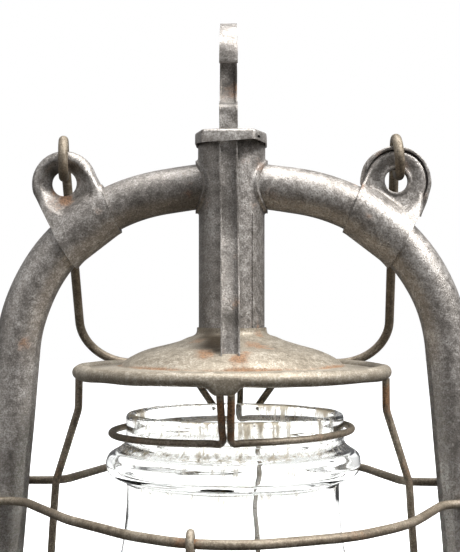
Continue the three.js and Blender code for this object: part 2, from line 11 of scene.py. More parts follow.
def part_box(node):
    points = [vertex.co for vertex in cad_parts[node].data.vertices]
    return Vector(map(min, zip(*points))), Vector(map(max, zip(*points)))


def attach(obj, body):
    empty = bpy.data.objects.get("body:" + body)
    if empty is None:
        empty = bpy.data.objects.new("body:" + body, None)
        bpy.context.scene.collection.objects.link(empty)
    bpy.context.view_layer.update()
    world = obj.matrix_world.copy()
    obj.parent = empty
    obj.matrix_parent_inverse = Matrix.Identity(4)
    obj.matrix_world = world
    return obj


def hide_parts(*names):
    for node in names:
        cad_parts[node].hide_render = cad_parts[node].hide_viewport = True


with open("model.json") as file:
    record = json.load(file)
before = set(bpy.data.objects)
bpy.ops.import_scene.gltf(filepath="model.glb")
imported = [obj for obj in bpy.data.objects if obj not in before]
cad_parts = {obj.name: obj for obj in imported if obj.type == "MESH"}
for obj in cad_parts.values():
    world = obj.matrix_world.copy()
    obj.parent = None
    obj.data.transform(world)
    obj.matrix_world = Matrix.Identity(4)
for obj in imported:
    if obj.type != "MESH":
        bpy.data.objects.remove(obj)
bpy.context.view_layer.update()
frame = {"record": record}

bl_info = {
    "name": "Tubular Lantern",
    "version": (1, 0, 0),
    "blender": (4, 5, 0),
    "location": "View3D > Sidebar > Lantern",
    "description": "Builds the pieces and finishes of an old tubular hanging lantern round its frame",
    "category": "Add Mesh",
}

MM = 0.001                      # lengths below are in millimetres, and meshes in metres
BODY_OF = {node: body for body, nodes in frame["record"]["behaviour"]["bodies"].items() for node in nodes}
SLOT_OF = {row["node"]: row["material_slot"] for row in frame["record"]["subparts"]}
SIDES = (("right", 1), ("left", -1))
LEFT_RIGHT, FRONT_BACK = (1, 0, 0), (0, 1, 0)


def low(node):
    """Lowest corner of a CAD node in millimetres."""
    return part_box(node)[0] / MM


def high(node):
    """Highest corner of a CAD node in millimetres."""
    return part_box(node)[1] / MM


# ---- driving sizes, from the frame where it has them ----
GAP = 0.35
SHEET = 0.8
CHIMNEY_BOTTOM, CHIMNEY_TOP = low("chimney_tube").z, high("chimney_tube").z
CHIMNEY_RADIUS = high("chimney_tube").y
COLLAR_REACH = high("chimney_tube").x
CAP_BOTTOM, CAP_TOP = low("top_cap").z, high("top_cap").z
CAP_FRONT, CAP_HALF = low("top_cap").y, high("top_cap").x
TUBE_RADIUS = high("right_air_tube").y
TUBE_HIGH = 243.7               # where the tubes leave the chimney
TUBE_LOW = 46                   # where they enter the air chamber
TUBE_START = Vector((9, 0, TUBE_HIGH))
SHOULDER = Vector((72.5, 0, 234.8))
SHOULDER_BEND = 62
FOOT = Vector((88.8, 0, TUBE_LOW))
FOOT_BEND = 34
TUBE_END = Vector((38.5, 0, TUBE_LOW))
EAR = Vector((59.2, 0, 245.4))
EAR_HOLE = 4.6
BAIL_WIRE = 1.75
BAIL_PIVOT_Z = 253.6
BAIL_EYE_X = 59.6
BAIL_EYE_RADIUS = 6.5
BAIL_BAR = Vector((62.5, 58.7, low("bail").z + BAIL_WIRE))
GUARD_WIRE = 1.5
GUARD_OUT = high("front_guard_wire").x
GUARD_TOUCH = TUBE_RADIUS + GAP + GUARD_WIRE + 0.05
GUARD_DEPTH = 78.3
FRONT_GUARD_Z = low("front_guard_wire").z + GUARD_WIRE
BACK_GUARD_Z = low("back_guard_wire").z + GUARD_WIRE
UPRIGHT_WIRE = 1.2
UPRIGHT_X = 9.1
RIM_RADIUS, RIM_Z, RIM_WIRE = 54.1, 177.5, 2.0
NECK_RING_RADIUS, NECK_RING_Z, NECK_WIRE = 42.6, 156.8, 1.2
LIFT_WIRE = 1.35
STRAP_X = -0.6
STRAP_WIDTH = 6.4
STRAP_Y = -14
HOOK_RADIUS = 14.9
HOOK_Z = 285.4
PLATE_BOTTOM = low("globe_plate").z
PLATE_RADIUS = 51
CHAMBER_RADIUS = 42
CHAMBER_BOTTOM, CHAMBER_TOP = low("air_chamber").z, high("air_chamber").z
FOUNT_TOP = high("fount").z
FILLER = (low("filler_neck") + high("filler_neck")) / 2
SHAFT_X, SHAFT_Z = -4.4, 48


# ---- lines and outlines ----
def arc(centre, radius, start, end, steps):
    """Points of an arc about centre, in degrees, in the plane of the two coordinates given."""
    points = []
    for i in range(steps + 1):
        turn = math.radians(start + (end - start) * i / steps)
        points.append((centre[0] + radius * math.cos(turn), centre[1] + radius * math.sin(turn)))
    return points


def flowing(points, steps=5):
    """A smooth line through the points, straight where three of them are in line."""
    line = []
    for i in range(len(points) - 1):
        before = Vector(points[max(i - 1, 0)])
        start, end = Vector(points[i]), Vector(points[i + 1])
        after = Vector(points[min(i + 2, len(points) - 1)])
        reach = (end - start).length
        leave = (end - before).normalized() * reach
        arrive = (after - start).normalized() * reach
        for k in range(steps):
            t = k / steps
            line.append(
                (2 * t**3 - 3 * t**2 + 1) * start + (t**3 - 2 * t**2 + t) * leave
                + (3 * t**2 - 2 * t**3) * end + (t**3 - t**2) * arrive
            )
    line.append(Vector(points[-1]))
    return line


def bend(before, corner, after, radius, step):
    """Points of the round bend that joins two straight runs at a corner."""
    back, ahead = (before - corner).normalized(), (after - corner).normalized()
    half = back.angle(ahead) / 2
    reach = radius / math.tan(half)
    first_point = corner + back * reach
    centre = corner + (back + ahead).normalized() * (radius / math.sin(half))
    first = (first_point - centre).normalized()
    last = (corner + ahead * reach - centre).normalized()
    second = (last - first * last.dot(first)).normalized()
    turned = math.pi - 2 * half
    steps = max(3, math.ceil(turned * radius / step))
    return [
        centre + radius * (first * math.cos(turned * i / steps) + second * math.sin(turned * i / steps))
        for i in range(steps + 1)
    ]


def divided(points, step):
    """The same line with no piece of it longer than step."""
    line = [points[0]]
    for start, end in zip(points, points[1:]):
        count = max(1, math.ceil((end - start).length / step))
        line += [start.lerp(end, i / count) for i in range(1, count + 1)]
    return line


def bent_path(corners, radii, step=2.5):
    """Straight runs through the corners, with a round bend at each."""
    corners = [Vector(corner) for corner in corners]
    line = [corners[0]]
    for i, radius in enumerate(radii, 1):
        line += bend(corners[i - 1], corners[i], corners[i + 1], radius, step)
    line.append(corners[-1])
    kept = [line[0]]
    kept += [point for last, point in zip(line, line[1:]) if (point - last).length > 0.01]
    return divided(kept, step)


def full_turn(count):
    """Angles in radians that divide a full turn."""
    return [2 * math.pi * i / count for i in range(count)]


def clamped(value):
    """The value, held between 0 and 1."""
    return max(0.0, min(1.0, value))


# ---- meshes ----
def add_object(name, mesh):
    piece = bpy.data.objects.new(name, mesh)
    bpy.context.scene.collection.objects.link(piece)
    return piece


def solid(name, points, faces):
    """A closed mesh, from points in millimetres, with its faces outwards."""
    mesh = bpy.data.meshes.new(name)
    mesh.from_pydata([tuple(c * MM for c in point) for point in points], [], faces)
    form = bmesh.new()
    form.from_mesh(mesh)
    bmesh.ops.remove_doubles(form, verts=form.verts, dist=1e-7)
    bmesh.ops.recalc_face_normals(form, faces=form.faces)
    form.to_mesh(mesh)
    form.free()
    return add_object(name, mesh)


def lathe(name, outline, sides=96, closed=True, shape=None):
    """An outline of (radius, height) turned about the axis: closed on itself, or from axis to axis."""
    points, faces = [], []
    count = len(outline)
    for turn in full_turn(sides):
        for radius, height in outline:
            point = Vector((radius * math.sin(turn), -radius * math.cos(turn), height))
            points.append(shape(point) if shape else point)
    for i in range(sides):
        after = (i + 1) % sides
        for k in range(count if closed else count - 1):
            up = (k + 1) % count
            faces.append((i * count + k, after * count + k, after * count + up, i * count + up))
    return solid(name, points, faces)


def bar(name, radius, bottom, top, sides):
    """A round bar about the vertical axis."""
    return lathe(name, [(0, bottom), (radius, bottom), (radius, top), (0, top)], sides, False)


def sweep(name, path, section, across):
    """A section carried along a path. section(i) gives (side, out) points at station i, and across is
    the direction that the path never turns towards."""
    across = Vector(across)
    points, faces = [], []
    stations = len(path)
    for i, place in enumerate(path):
        ahead, behind = path[min(i + 1, stations - 1)], path[max(i - 1, 0)]
        out = across.cross(ahead - behind).normalized()
        ring = section(i)
        points += [place + across * side + out * away for side, away in ring]
    count = len(ring)
    for i in range(stations - 1):
        here, after = i * count, (i + 1) * count
        for k in range(count):
            up = (k + 1) % count
            faces.append((here + k, here + up, after + up, after + k))
    faces += [tuple(range(count)), tuple(range((stations - 1) * count, stations * count))]
    return solid(name, points, faces)


def pipe(name, path, radius, wall, sides, across, shape=None):
    """A round tube with a wall and open ends."""
    across = Vector(across)
    points, faces = [], []
    for i, place in enumerate(path):
        ahead, behind = path[min(i + 1, len(path) - 1)], path[max(i - 1, 0)]
        out = across.cross(ahead - behind).normalized()
        for reach in (radius, radius - wall):
            for turn in full_turn(sides):
                away = reach + (shape(i, turn) if shape else 0)
                points.append(place + (across * math.cos(turn) + out * math.sin(turn)) * away)
    ring = 2 * sides
    for i in range(len(path) - 1):
        for layer in (0, sides):
            for k in range(sides):
                a, b = i * ring + layer + k, i * ring + layer + (k + 1) % sides
                faces.append((a, b, b + ring, a + ring))
    for start in (0, (len(path) - 1) * ring):
        for k in range(sides):
            a, b = start + k, start + (k + 1) % sides
            faces.append((a, b, b + sides, a + sides))
    return solid(name, points, faces)


def slab(name, outline, bottom, top, upright=False):
    """An outline given height along Z, or with upright an X-Z outline given depth along Y."""
    points = []
    for level in (bottom, top):
        points += [(u, level, v) if upright else (u, v, level) for u, v in outline]
    count = len(outline)
    faces = [tuple(range(count)), tuple(range(count, 2 * count))]
    faces += [(k, (k + 1) % count, count + (k + 1) % count, count + k) for k in range(count)]
    return solid(name, points, faces)


def block(name, size, centre):
    """A box of a size, about its centre."""
    half, middle = Vector(size) / 2, Vector(centre)
    corners = ((-1, -1), (1, -1), (1, 1), (-1, 1))
    outline = [(middle.x + sx * half.x, middle.y + sy * half.y) for sx, sy in corners]
    return slab(name, outline, middle.z - half.z, middle.z + half.z)


def hull(name, points):
    """The tight skin round a cloud of points in millimetres."""
    mesh = bpy.data.meshes.new(name)
    form = bmesh.new()
    for point in points:
        form.verts.new(Vector(point) * MM)
    made = bmesh.ops.convex_hull(form, input=form.verts)
    bmesh.ops.delete(form, geom=list({*made["geom_interior"], *made["geom_unused"]}), context="VERTS")
    bmesh.ops.recalc_face_normals(form, faces=form.faces)
    form.to_mesh(mesh)
    form.free()
    return add_object(name, mesh)


def moved(piece, matrix):
    """Moves a mesh's own points by a matrix in millimetres, and keeps its faces outwards."""
    matrix = matrix.copy()
    matrix.translation *= MM
    piece.data.transform(matrix)
    if matrix.determinant() < 0:
        piece.data.flip_normals()
    return piece


def flipped(piece, axis):
    """The mirror image of a piece, with its sides swapped along an axis."""
    return moved(piece, Matrix.Scale(-1, 4, axis))


def about(place, piece, axis="X"):
    """Lays a piece made about the vertical axis down from front to back, or with "Y" from left to right."""
    return moved(piece, Matrix.Translation(place) @ Matrix.Rotation(math.radians(90), 4, axis))


def remove(piece):
    mesh = piece.data
    bpy.data.objects.remove(piece)
    bpy.data.meshes.remove(mesh)


def settled(piece):
    """Turns what a piece's modifiers make into its plain mesh."""
    graph = bpy.context.evaluated_depsgraph_get()
    graph.update()
    mesh = bpy.data.meshes.new_from_object(piece.evaluated_get(graph), depsgraph=graph)
    old = piece.data
    piece.modifiers.clear()
    piece.data = mesh
    bpy.data.meshes.remove(old)
    return piece


def combined(pieces):
    """One object from several, still overlapping."""
    form = bmesh.new()
    for piece in pieces:
        form.from_mesh(piece.data)
    form.to_mesh(pieces[0].data)
    form.free()
    for piece in pieces[1:]:
        remove(piece)
    return pieces[0]


def boolean(piece, tools, operation):
    """Cuts, joins or keeps a piece with each tool, and removes the tools."""
    for tool in tools:
        cutter = piece.modifiers.new("cut", "BOOLEAN")
        cutter.object = tool
        cutter.operation = operation
        cutter.solver = "EXACT"
    settled(piece)
    for tool in tools:
        remove(tool)
    return piece


def pressed(piece, voxel, rounds):
    """Melts overlapping solids into one skin and softens its edges, as pressed sheet is soft."""
    skin = piece.modifiers.new("skin", "REMESH")
    skin.mode = "VOXEL"
    skin.voxel_size = voxel * MM
    soften = piece.modifiers.new("soften", "SMOOTH")
    soften.factor = 0.5
    soften.iterations = rounds
    return settled(piece)


def dented(piece, depth, size, seed):
    """Small, wide dents and bumps of age."""
    vertices = piece.data.vertices
    normals = [vertex.normal.copy() for vertex in vertices]
    for vertex, normal in zip(vertices, normals):
        place = vertex.co / (size * MM) + Vector((seed, 0, 0))
        vertex.co += normal * (noise.noise(place) * depth * MM)
    return piece


def chamfered(piece, width, segments=2, angle=35):
    """Rounds the edges that turn by more than the angle."""
    edge = piece.modifiers.new("edge", "BEVEL")
    edge.width = width * MM
    edge.segments = segments
    edge.limit_method = "ANGLE"
    edge.angle_limit = math.radians(angle)
    edge.harden_normals = False
    return settled(piece)


def shaded(piece, angle=38):
    """Smooth shading with sharp edges where the surface turns by more than the angle."""
    mesh = piece.data
    mesh.polygons.foreach_set("use_smooth", [True] * len(mesh.polygons))
    mesh.set_sharp_from_angle(angle=math.radians(angle))
    return piece


def weathered(piece, rust=(), grime_and_shade=()):
    """Marks rust, and grime and painted shade, on a mesh: each spot is (x, y, z, reach, strength), in
    millimetres.
    """
    count = len(piece.data.vertices)
    places = np.empty(3 * count)
    piece.data.vertices.foreach_get("co", places)
    places = places.reshape(count, 3) / MM
    for name, spots in (("rust", rust), ("grime_and_shade", grime_and_shade)):
        layer = piece.data.attributes.new(name, "FLOAT", "POINT")
        values = np.zeros(count)
        for x, y, z, reach, strength in spots:
            away = ((places - (x, y, z)) ** 2).sum(axis=1)
            values += strength * np.exp(-away / reach**2)
        layer.data.foreach_set("value", np.clip(values, -1, 1))
    return piece


def round_spots(radius, height, turns, reach, strength):
    """Like spots round the axis, at turns in radians from the right-hand side."""
    return [(radius * math.cos(a), radius * math.sin(a), height, reach, strength) for a in turns]


def stands_for(piece, finish, *nodes):
    """Gives a finished piece its finish and its body, and hides the CAD nodes that it stands for."""
    if not piece.data.materials:
        piece.data.materials.append(None)
    piece.data.materials[0] = finish
    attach(piece, BODY_OF[nodes[0]])
    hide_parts(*nodes)
    return piece


# ---- finishes ----
def node(tree, kind, inputs=None, **settings):
    """A shader or geometry node, with its inputs linked to a socket or set to a value."""
    made = tree.nodes.new(kind)
    for key, value in settings.items():
        setattr(made, key, value)
    for key, value in (inputs or {}).items():
        if isinstance(value, bpy.types.NodeSocket):
            tree.links.new(value, made.inputs[key])
        else:
            made.inputs[key].default_value = value
    return made


def new_finish(name):
    """An empty material, its tree and the place on the piece that its patterns follow."""
    material = bpy.data.materials.new(name)
    material.use_nodes = True
    tree = material.node_tree
    tree.nodes.clear()
    return material, tree, node(tree, "ShaderNodeTexCoord").outputs["Object"]


def grain(tree, place, scale, detail, roughness):
    inputs = {"Vector": place, "Scale": scale, "Detail": detail, "Roughness": roughness}
    return node(tree, "ShaderNodeTexNoise", inputs).outputs["Fac"]


def maths(tree, operation, first, second, clamp=False):
    settings = {"operation": operation, "use_clamp": clamp}
    return node(tree, "ShaderNodeMath", {0: first, 1: second}, **settings).outputs[0]


def times(tree, first, second):
    return maths(tree, "MULTIPLY", first, second)


def plus(tree, first, second):
    return maths(tree, "ADD", first, second)


def levels(tree, value, start, end, first=0.0, last=1.0):
    """value mapped from start..end to first..last, and held there."""
    inputs = {"Value": value, "From Min": start, "From Max": end, "To Min": first, "To Max": last}
    return node(tree, "ShaderNodeMapRange", inputs, interpolation_type="SMOOTHSTEP").outputs["Result"]


def tint(tree, share, first, second):
    """The first colour, with a share of the second."""
    return node(tree, "ShaderNodeMix", {0: share, 6: first, 7: second}, data_type="RGBA").outputs[2]


def ramp(tree, value, stops):
    made = node(tree, "ShaderNodeValToRGB", {"Fac": value})
    elements = made.color_ramp.elements
    while len(elements) < len(stops):
        elements.new(1.0)
    for element, (position, colour) in zip(elements, stops):
        element.position = position
        element.color = colour
    return made.outputs["Color"]


def mark(tree, name):
    """What weathered wrote on the mesh under a name."""
    return node(tree, "ShaderNodeAttribute", attribute_name=name).outputs["Fac"]


def relief(tree, strength, distance, height):
    """The normals of a surface with a fine relief."""
    inputs = {"Strength": strength, "Distance": distance, "Height": height}
    return node(tree, "ShaderNodeBump", inputs).outputs["Normal"]


def surface(tree, inputs):
    """Ends a finish with its surface."""
    shader = node(tree, "ShaderNodeBsdfPrincipled", inputs)
    node(tree, "ShaderNodeOutputMaterial", {"Surface": shader.outputs["BSDF"]})


def rgb(red, green, blue):
    """A colour from its 0 to 255 screen values."""
    def linear(value):
        share = value / 255
        return share / 12.92 if share <= 0.04045 else ((share + 0.055) / 1.055) ** 2.4
    return (linear(red), linear(green), linear(blue), 1.0)


RUST_DARK, RUST_LIGHT = rgb(88, 62, 42), rgb(150, 108, 70)


def aged_metal(name, tones, metallic, roughness, rust_share=0.0):
    """Mottled, pitted old metal, with rust, and grime and painted shade, where a mesh is marked. The tones
    are the dark, the middle and the light of its mottle, and its grime and painted shade."""
    material, tree, place = new_finish(name)
    clouds = grain(tree, place, 70, 5, 0.62)
    mottle = grain(tree, place, 430, 5, 0.7)
    specks = grain(tree, place, 1650, 3, 0.8)
    tone = plus(tree, times(tree, clouds, 0.24), times(tree, mottle, 0.32))
    tone = plus(tree, tone, times(tree, specks, 0.44))
    colour = ramp(tree, tone, [(0.36, tones[0]), (0.5, tones[1]), (0.63, tones[2])])
    cells = node(tree, "ShaderNodeTexVoronoi", {"Vector": place, "Scale": 520.0, "Randomness": 1.0})
    pits = levels(tree, cells.outputs["Distance"], 0.10, 0.26, 1.0, 0.0)
    pits = times(tree, pits, levels(tree, mottle, 0.48, 0.62))
    colour = tint(tree, times(tree, pits, 0.6), colour, tones[3])
    # the grime and painted shade marks darken the colour towards the last tone
    grime_and_shade = levels(tree, plus(tree, mark(tree, "grime_and_shade"), times(tree, mottle, 0.35)), 0.2, 1.1)
    colour = tint(tree, grime_and_shade, colour, tones[3])
    patch = plus(tree, mark(tree, "rust"), times(tree, mottle, 0.9))
    patch = plus(tree, patch, times(tree, clouds, rust_share))
    rust = levels(tree, patch, 0.66, 1.04)
    rusty = ramp(tree, specks, [(0.38, RUST_DARK), (0.62, RUST_LIGHT)])
    colour = tint(tree, times(tree, rust, 0.85), colour, rusty)
    worn = levels(tree, mottle, 0.35, 0.65, roughness - 0.08, roughness + 0.12)
    height = maths(tree, "SUBTRACT", plus(tree, specks, mottle), times(tree, pits, 0.7))
    surface(tree, {
        "Base Color": colour,
        "Metallic": times(tree, maths(tree, "SUBTRACT", 1.0, rust, clamp=True), metallic),
        "Roughness": plus(tree, worn, times(tree, rust, 0.3)),
        "Normal": relief(tree, 0.5, 0.0002, height),
    })
    return material


def globe_glass(name):
    """Clear blown glass, a little wavy, with smoke and dirt where the mesh is marked."""
    material, tree, place = new_finish(name)
    streaks = node(tree, "ShaderNodeMapping", {"Vector": place, "Scale": (1.0, 1.0, 0.12)})
    drips = grain(tree, streaks.outputs["Vector"], 380, 4, 0.7)
    spots = grain(tree, place, 520, 5, 0.7)
    dirt = plus(tree, mark(tree, "grime_and_shade"), levels(tree, drips, 0.35, 0.7, -0.42, 0.34))
    dirt = levels(tree, plus(tree, dirt, times(tree, spots, 0.5)), 0.5, 1.2)
    surface(tree, {
        "Base Color": tint(tree, dirt, rgb(253, 254, 253), rgb(186, 170, 142)),
        "Roughness": levels(tree, dirt, 0.0, 1.0, 0.01, 0.5),
        "IOR": 1.47,
        "Transmission Weight": levels(tree, dirt, 0.0, 1.0, 1.0, 0.55),
        "Normal": relief(tree, 0.25, 0.0006, grain(tree, place, 45, 2, 0.5)),
    })
    return material


def woven_cotton(name):
    """Flat woven wick, charred towards its top."""
    material, tree, place = new_finish(name)
    weave = 1.0
    for way, scale, stray in (("Z", 420.0, 1.5), ("Y", 300.0, 0.5)):
        inputs = {"Vector": place, "Scale": scale, "Distortion": stray}
        threads = node(tree, "ShaderNodeTexWave", inputs, bands_direction=way, wave_type="BANDS")
        weave = times(tree, weave, threads.outputs["Fac"])
    colour = tint(tree, weave, rgb(150, 136, 108), rgb(222, 212, 188))
    colour = tint(tree, mark(tree, "grime_and_shade"), colour, rgb(28, 24, 22))
    surface(tree, {
        "Base Color": colour, "Roughness": 0.95, "Normal": relief(tree, 0.8, 0.0003, weave),
    })
    return material


def pressed_cork(name):
    """Cork granules in darker binder."""
    material, tree, place = new_finish(name)
    granules = node(tree, "ShaderNodeTexVoronoi", {"Vector": place, "Scale": 900.0}).outputs["Distance"]
    surface(tree, {
        "Base Color": tint(tree, granules, rgb(170, 124, 84), rgb(92, 62, 40)),
        "Roughness": 0.9,
        "Normal": relief(tree, 0.6, 0.0002, granules),
    })
    return material


def studio_floor(name):
    """Plain white studio paper with a faint tooth."""
    material, tree, place = new_finish(name)
    surface(tree, {
        "Base Color": rgb(248, 248, 247),
        "Roughness": 0.85,
        "Emission Color": rgb(255, 255, 255),
        "Emission Strength": 0.75,
        "Normal": relief(tree, 0.1, 0.0002, grain(tree, place, 900, 3, 0.6)),
    })
    return material


FINISHES = {}


def finish_of(piece_slot):
    """The finish of a material slot, made once."""
    if piece_slot in FINISHES:
        return FINISHES[piece_slot]
    colours = bpy.context.scene.lantern_colours
    # the last tone of each metal is its grime and painted shade
    steel_tones = (rgb(88, 84, 78), tuple(colours.steel) + (1.0,), rgb(206, 202, 197), rgb(50, 45, 37))
    hood_tones = (rgb(112, 102, 86), tuple(colours.hood) + (1.0,), rgb(206, 198, 184), rgb(62, 52, 38))
    wire_tones = (rgb(76, 66, 54), tuple(colours.wire) + (1.0,), rgb(172, 162, 146), rgb(46, 38, 30))
    brass_tones = (rgb(88, 70, 40), tuple(colours.brass) + (1.0,), rgb(190, 164, 110), rgb(44, 34, 22))
    makers = {
        "tinned_steel": lambda name: aged_metal(name, steel_tones, 0.62, 0.42),
        "hood_steel": lambda name: aged_metal(name, hood_tones, 0.45, 0.5, rust_share=0.05),
        "rusted_wire": lambda name: aged_metal(name, wire_tones, 0.4, 0.5, rust_share=0.1),
        "aged_brass": lambda name: aged_metal(name, brass_tones, 0.85, 0.38),
        "wick_cotton": woven_cotton,
        "gasket_cork": pressed_cork,
        "globe_glass": globe_glass,
    }
    FINISHES[piece_slot] = makers[piece_slot](piece_slot)
    return FINISHES[piece_slot]


# ---- geometry nodes ----
def geometry_tree(name, fields):
    """An empty tree with a geometry, the named fields and a finish going in, and a geometry coming out."""
    tree = bpy.data.node_groups.new(name, "GeometryNodeTree")
    face = tree.interface
    face.new_socket("Geometry", in_out="INPUT", socket_type="NodeSocketGeometry")
    for label, kind, value in fields:
        socket = face.new_socket(label, in_out="INPUT", socket_type=kind)
        socket.default_value = value
    face.new_socket("Finish", in_out="INPUT", socket_type="NodeSocketMaterial")
    face.new_socket("Geometry", in_out="OUTPUT", socket_type="NodeSocketGeometry")
    return tree, tree.nodes.new("NodeGroupInput")


def tree_end(tree, entry, geometry):
    realized = node(tree, "GeometryNodeRealizeInstances", {"Geometry": geometry})
    dressed = node(tree, "GeometryNodeSetMaterial", {
        "Geometry": realized.outputs[0], "Material": entry.outputs["Finish"],
    })
    node(tree, "NodeGroupOutput", {"Geometry": dressed.outputs[0]})
    return tree


def wire_tree():
    """Round wire drawn along an edge line, wandering a little from it."""
    tree, entry = geometry_tree("Drawn Wire", [
        ("Radius", "NodeSocketFloat", 0.0015), ("Sides", "NodeSocketInt", 20),
        ("Wander", "NodeSocketFloat", 0.0003), ("Seed", "NodeSocketFloat", 3.0),
    ])
    line = node(tree, "GeometryNodeMeshToCurve", {"Mesh": entry.outputs["Geometry"]})
    field = node(tree, "ShaderNodeTexNoise", {
        "W": entry.outputs["Seed"], "Scale": 28.0, "Detail": 1.0,
    }, noise_dimensions="4D")
    centred = node(tree, "ShaderNodeVectorMath", {
        0: field.outputs["Color"], 1: (0.5, 0.5, 0.5),
    }, operation="SUBTRACT")
    drift = node(tree, "ShaderNodeVectorMath", {
        0: centred.outputs["Vector"], "Scale": entry.outputs["Wander"],
    }, operation="SCALE")
    bent = node(tree, "GeometryNodeSetPosition", {
        "Geometry": line.outputs["Curve"], "Offset": drift.outputs["Vector"],
    })
    section = node(tree, "GeometryNodeCurvePrimitiveCircle", {
        "Resolution": entry.outputs["Sides"], "Radius": entry.outputs["Radius"],
    })
    skin = node(tree, "GeometryNodeCurveToMesh", {
        "Curve": bent.outputs["Geometry"], "Profile Curve": section.outputs["Curve"], "Fill Caps": True,
    })
    return tree_end(tree, entry, skin.outputs["Mesh"])


def ring_places(tree, entry):
    """A ring of points, each turned to face away from the ring's centre."""
    ring = node(tree, "GeometryNodeMeshCircle", {
        "Vertices": entry.outputs["Count"], "Radius": entry.outputs["Ring Radius"],
    })
    place = node(tree, "GeometryNodeInputPosition")
    turn = node(tree, "FunctionNodeAlignRotationToVector", {"Vector": place.outputs[0]}, axis="X")
    return ring.outputs["Mesh"], turn.outputs["Rotation"]


def rib_tree():
    """Ribs of a knurl, standing round a ring."""
    tree, entry = geometry_tree("Ribs Round a Ring", [
        ("Count", "NodeSocketInt", 24), ("Ring Radius", "NodeSocketFloat", 0.008),
        ("Rib Radius", "NodeSocketFloat", 0.0004), ("Rib Length", "NodeSocketFloat", 0.002),
        ("Centre", "NodeSocketVector", (0.0, 0.0, 0.0)),
    ])
    rib = node(tree, "GeometryNodeMeshCylinder", {
        "Vertices": 8, "Radius": entry.outputs["Rib Radius"], "Depth": entry.outputs["Rib Length"],
    })
    ring, turn = ring_places(tree, entry)
    ribs = node(tree, "GeometryNodeInstanceOnPoints", {
        "Points": ring, "Instance": rib.outputs["Mesh"], "Rotation": turn,
    })
    placed = node(tree, "GeometryNodeTransform", {
        "Geometry": ribs.outputs["Instances"], "Translation": entry.outputs["Centre"],
    })
    both = node(tree, "GeometryNodeJoinGeometry", {"Geometry": entry.outputs["Geometry"]})
    tree.links.new(placed.outputs["Geometry"], both.inputs["Geometry"])
    return tree_end(tree, entry, both.outputs["Geometry"])


def hole_tree():
    """Round holes punched in a ring, along the ring's axis or outwards from it."""
    tree, entry = geometry_tree("Holes Round a Ring", [
        ("Count", "NodeSocketInt", 12), ("Ring Radius", "NodeSocketFloat", 0.03),
        ("Hole Radius", "NodeSocketFloat", 0.002), ("Depth", "NodeSocketFloat", 0.006),
        ("Centre", "NodeSocketVector", (0.0, 0.0, 0.0)),
        ("Punch Turn", "NodeSocketVector", (0.0, 0.0, 0.0)),
    ])
    punch = node(tree, "GeometryNodeMeshCylinder", {
        "Vertices": 20, "Radius": entry.outputs["Hole Radius"], "Depth": entry.outputs["Depth"],
    })
    turned = node(tree, "GeometryNodeTransform", {
        "Geometry": punch.outputs["Mesh"], "Rotation": entry.outputs["Punch Turn"],
    })
    ring, turn = ring_places(tree, entry)
    punches = node(tree, "GeometryNodeInstanceOnPoints", {
        "Points": ring, "Instance": turned.outputs["Geometry"], "Rotation": turn,
    })
    placed = node(tree, "GeometryNodeTransform", {
        "Geometry": punches.outputs["Instances"], "Translation": entry.outputs["Centre"],
    })
    real = node(tree, "GeometryNodeRealizeInstances", {"Geometry": placed.outputs["Geometry"]})
    cut = node(tree, "GeometryNodeMeshBoolean", {
        "Mesh 1": entry.outputs["Geometry"],
    }, operation="DIFFERENCE", solver="EXACT")
    tree.links.new(real.outputs["Geometry"], cut.inputs["Mesh 2"])
    return tree_end(tree, entry, cut.outputs["Mesh"])


TREES = {}
TREE_MAKERS = {"wire": wire_tree, "ribs": rib_tree, "holes": hole_tree}


def grown(piece, kind, finish, values):
    """Runs one of the geometry trees on a piece and keeps the plain mesh that comes out."""
    if kind not in TREES:
        TREES[kind] = TREE_MAKERS[kind]()
    tree = TREES[kind]
    modifier = piece.modifiers.new(kind, "NODES")
    modifier.node_group = tree
    sockets = {
        item.name: item.identifier for item in tree.interface.items_tree
        if item.item_type == "SOCKET" and item.in_out == "INPUT"
    }
    for label, value in values.items():
        modifier[sockets[label]] = value
    modifier[sockets["Finish"]] = finish
    return settled(piece)


def ribbed(piece, finish, count, ring, rib, length, height):
    """Upright ribs round the axis, as a knurl has them."""
    return grown(piece, "ribs", finish, {
        "Count": count, "Ring Radius": ring * MM, "Rib Radius": rib * MM, "Rib Length": length * MM,
        "Centre": [0.0, 0.0, height * MM],
    })


def punched(piece, finish, count, ring, hole, depth, height, outwards=False):
    """Round holes in a ring, through a plate or, with outwards, through a wall."""
    return grown(piece, "holes", finish, {
        "Count": count, "Ring Radius": ring * MM, "Hole Radius": hole * MM, "Depth": depth * MM,
        "Centre": [0.0, 0.0, height * MM], "Punch Turn": [0.0, math.pi / 2 if outwards else 0.0, 0.0],
    })


def wire(node_name, path, radius, wander=0.3, sides=20, rust=(), grime_and_shade=()):
    """A round wire along a path, standing for the CAD node of that name."""
    mesh = bpy.data.meshes.new(node_name)
    edges = [(i, i + 1) for i in range(len(path) - 1)]
    mesh.from_pydata([tuple(c * MM for c in point) for point in path], edges, [])
    piece = add_object("drawn_" + node_name, mesh)
    finish = finish_of(SLOT_OF[node_name])
    seed = 1.7 * sorted(SLOT_OF).index(node_name)
    grown(piece, "wire", finish, {
        "Radius": radius * MM, "Sides": sides, "Wander": wander * MM, "Seed": seed,
    })
    weathered(shaded(piece, 50), rust, grime_and_shade)
    return stands_for(piece, finish, node_name)


def sheet_piece(node_name, piece, angle=38, rust=(), grime_and_shade=()):
    """Shades and marks a finished piece and lets it stand for its CAD node."""
    weathered(shaded(piece, angle), rust, grime_and_shade)
    return stands_for(piece, finish_of(SLOT_OF[node_name]), node_name)


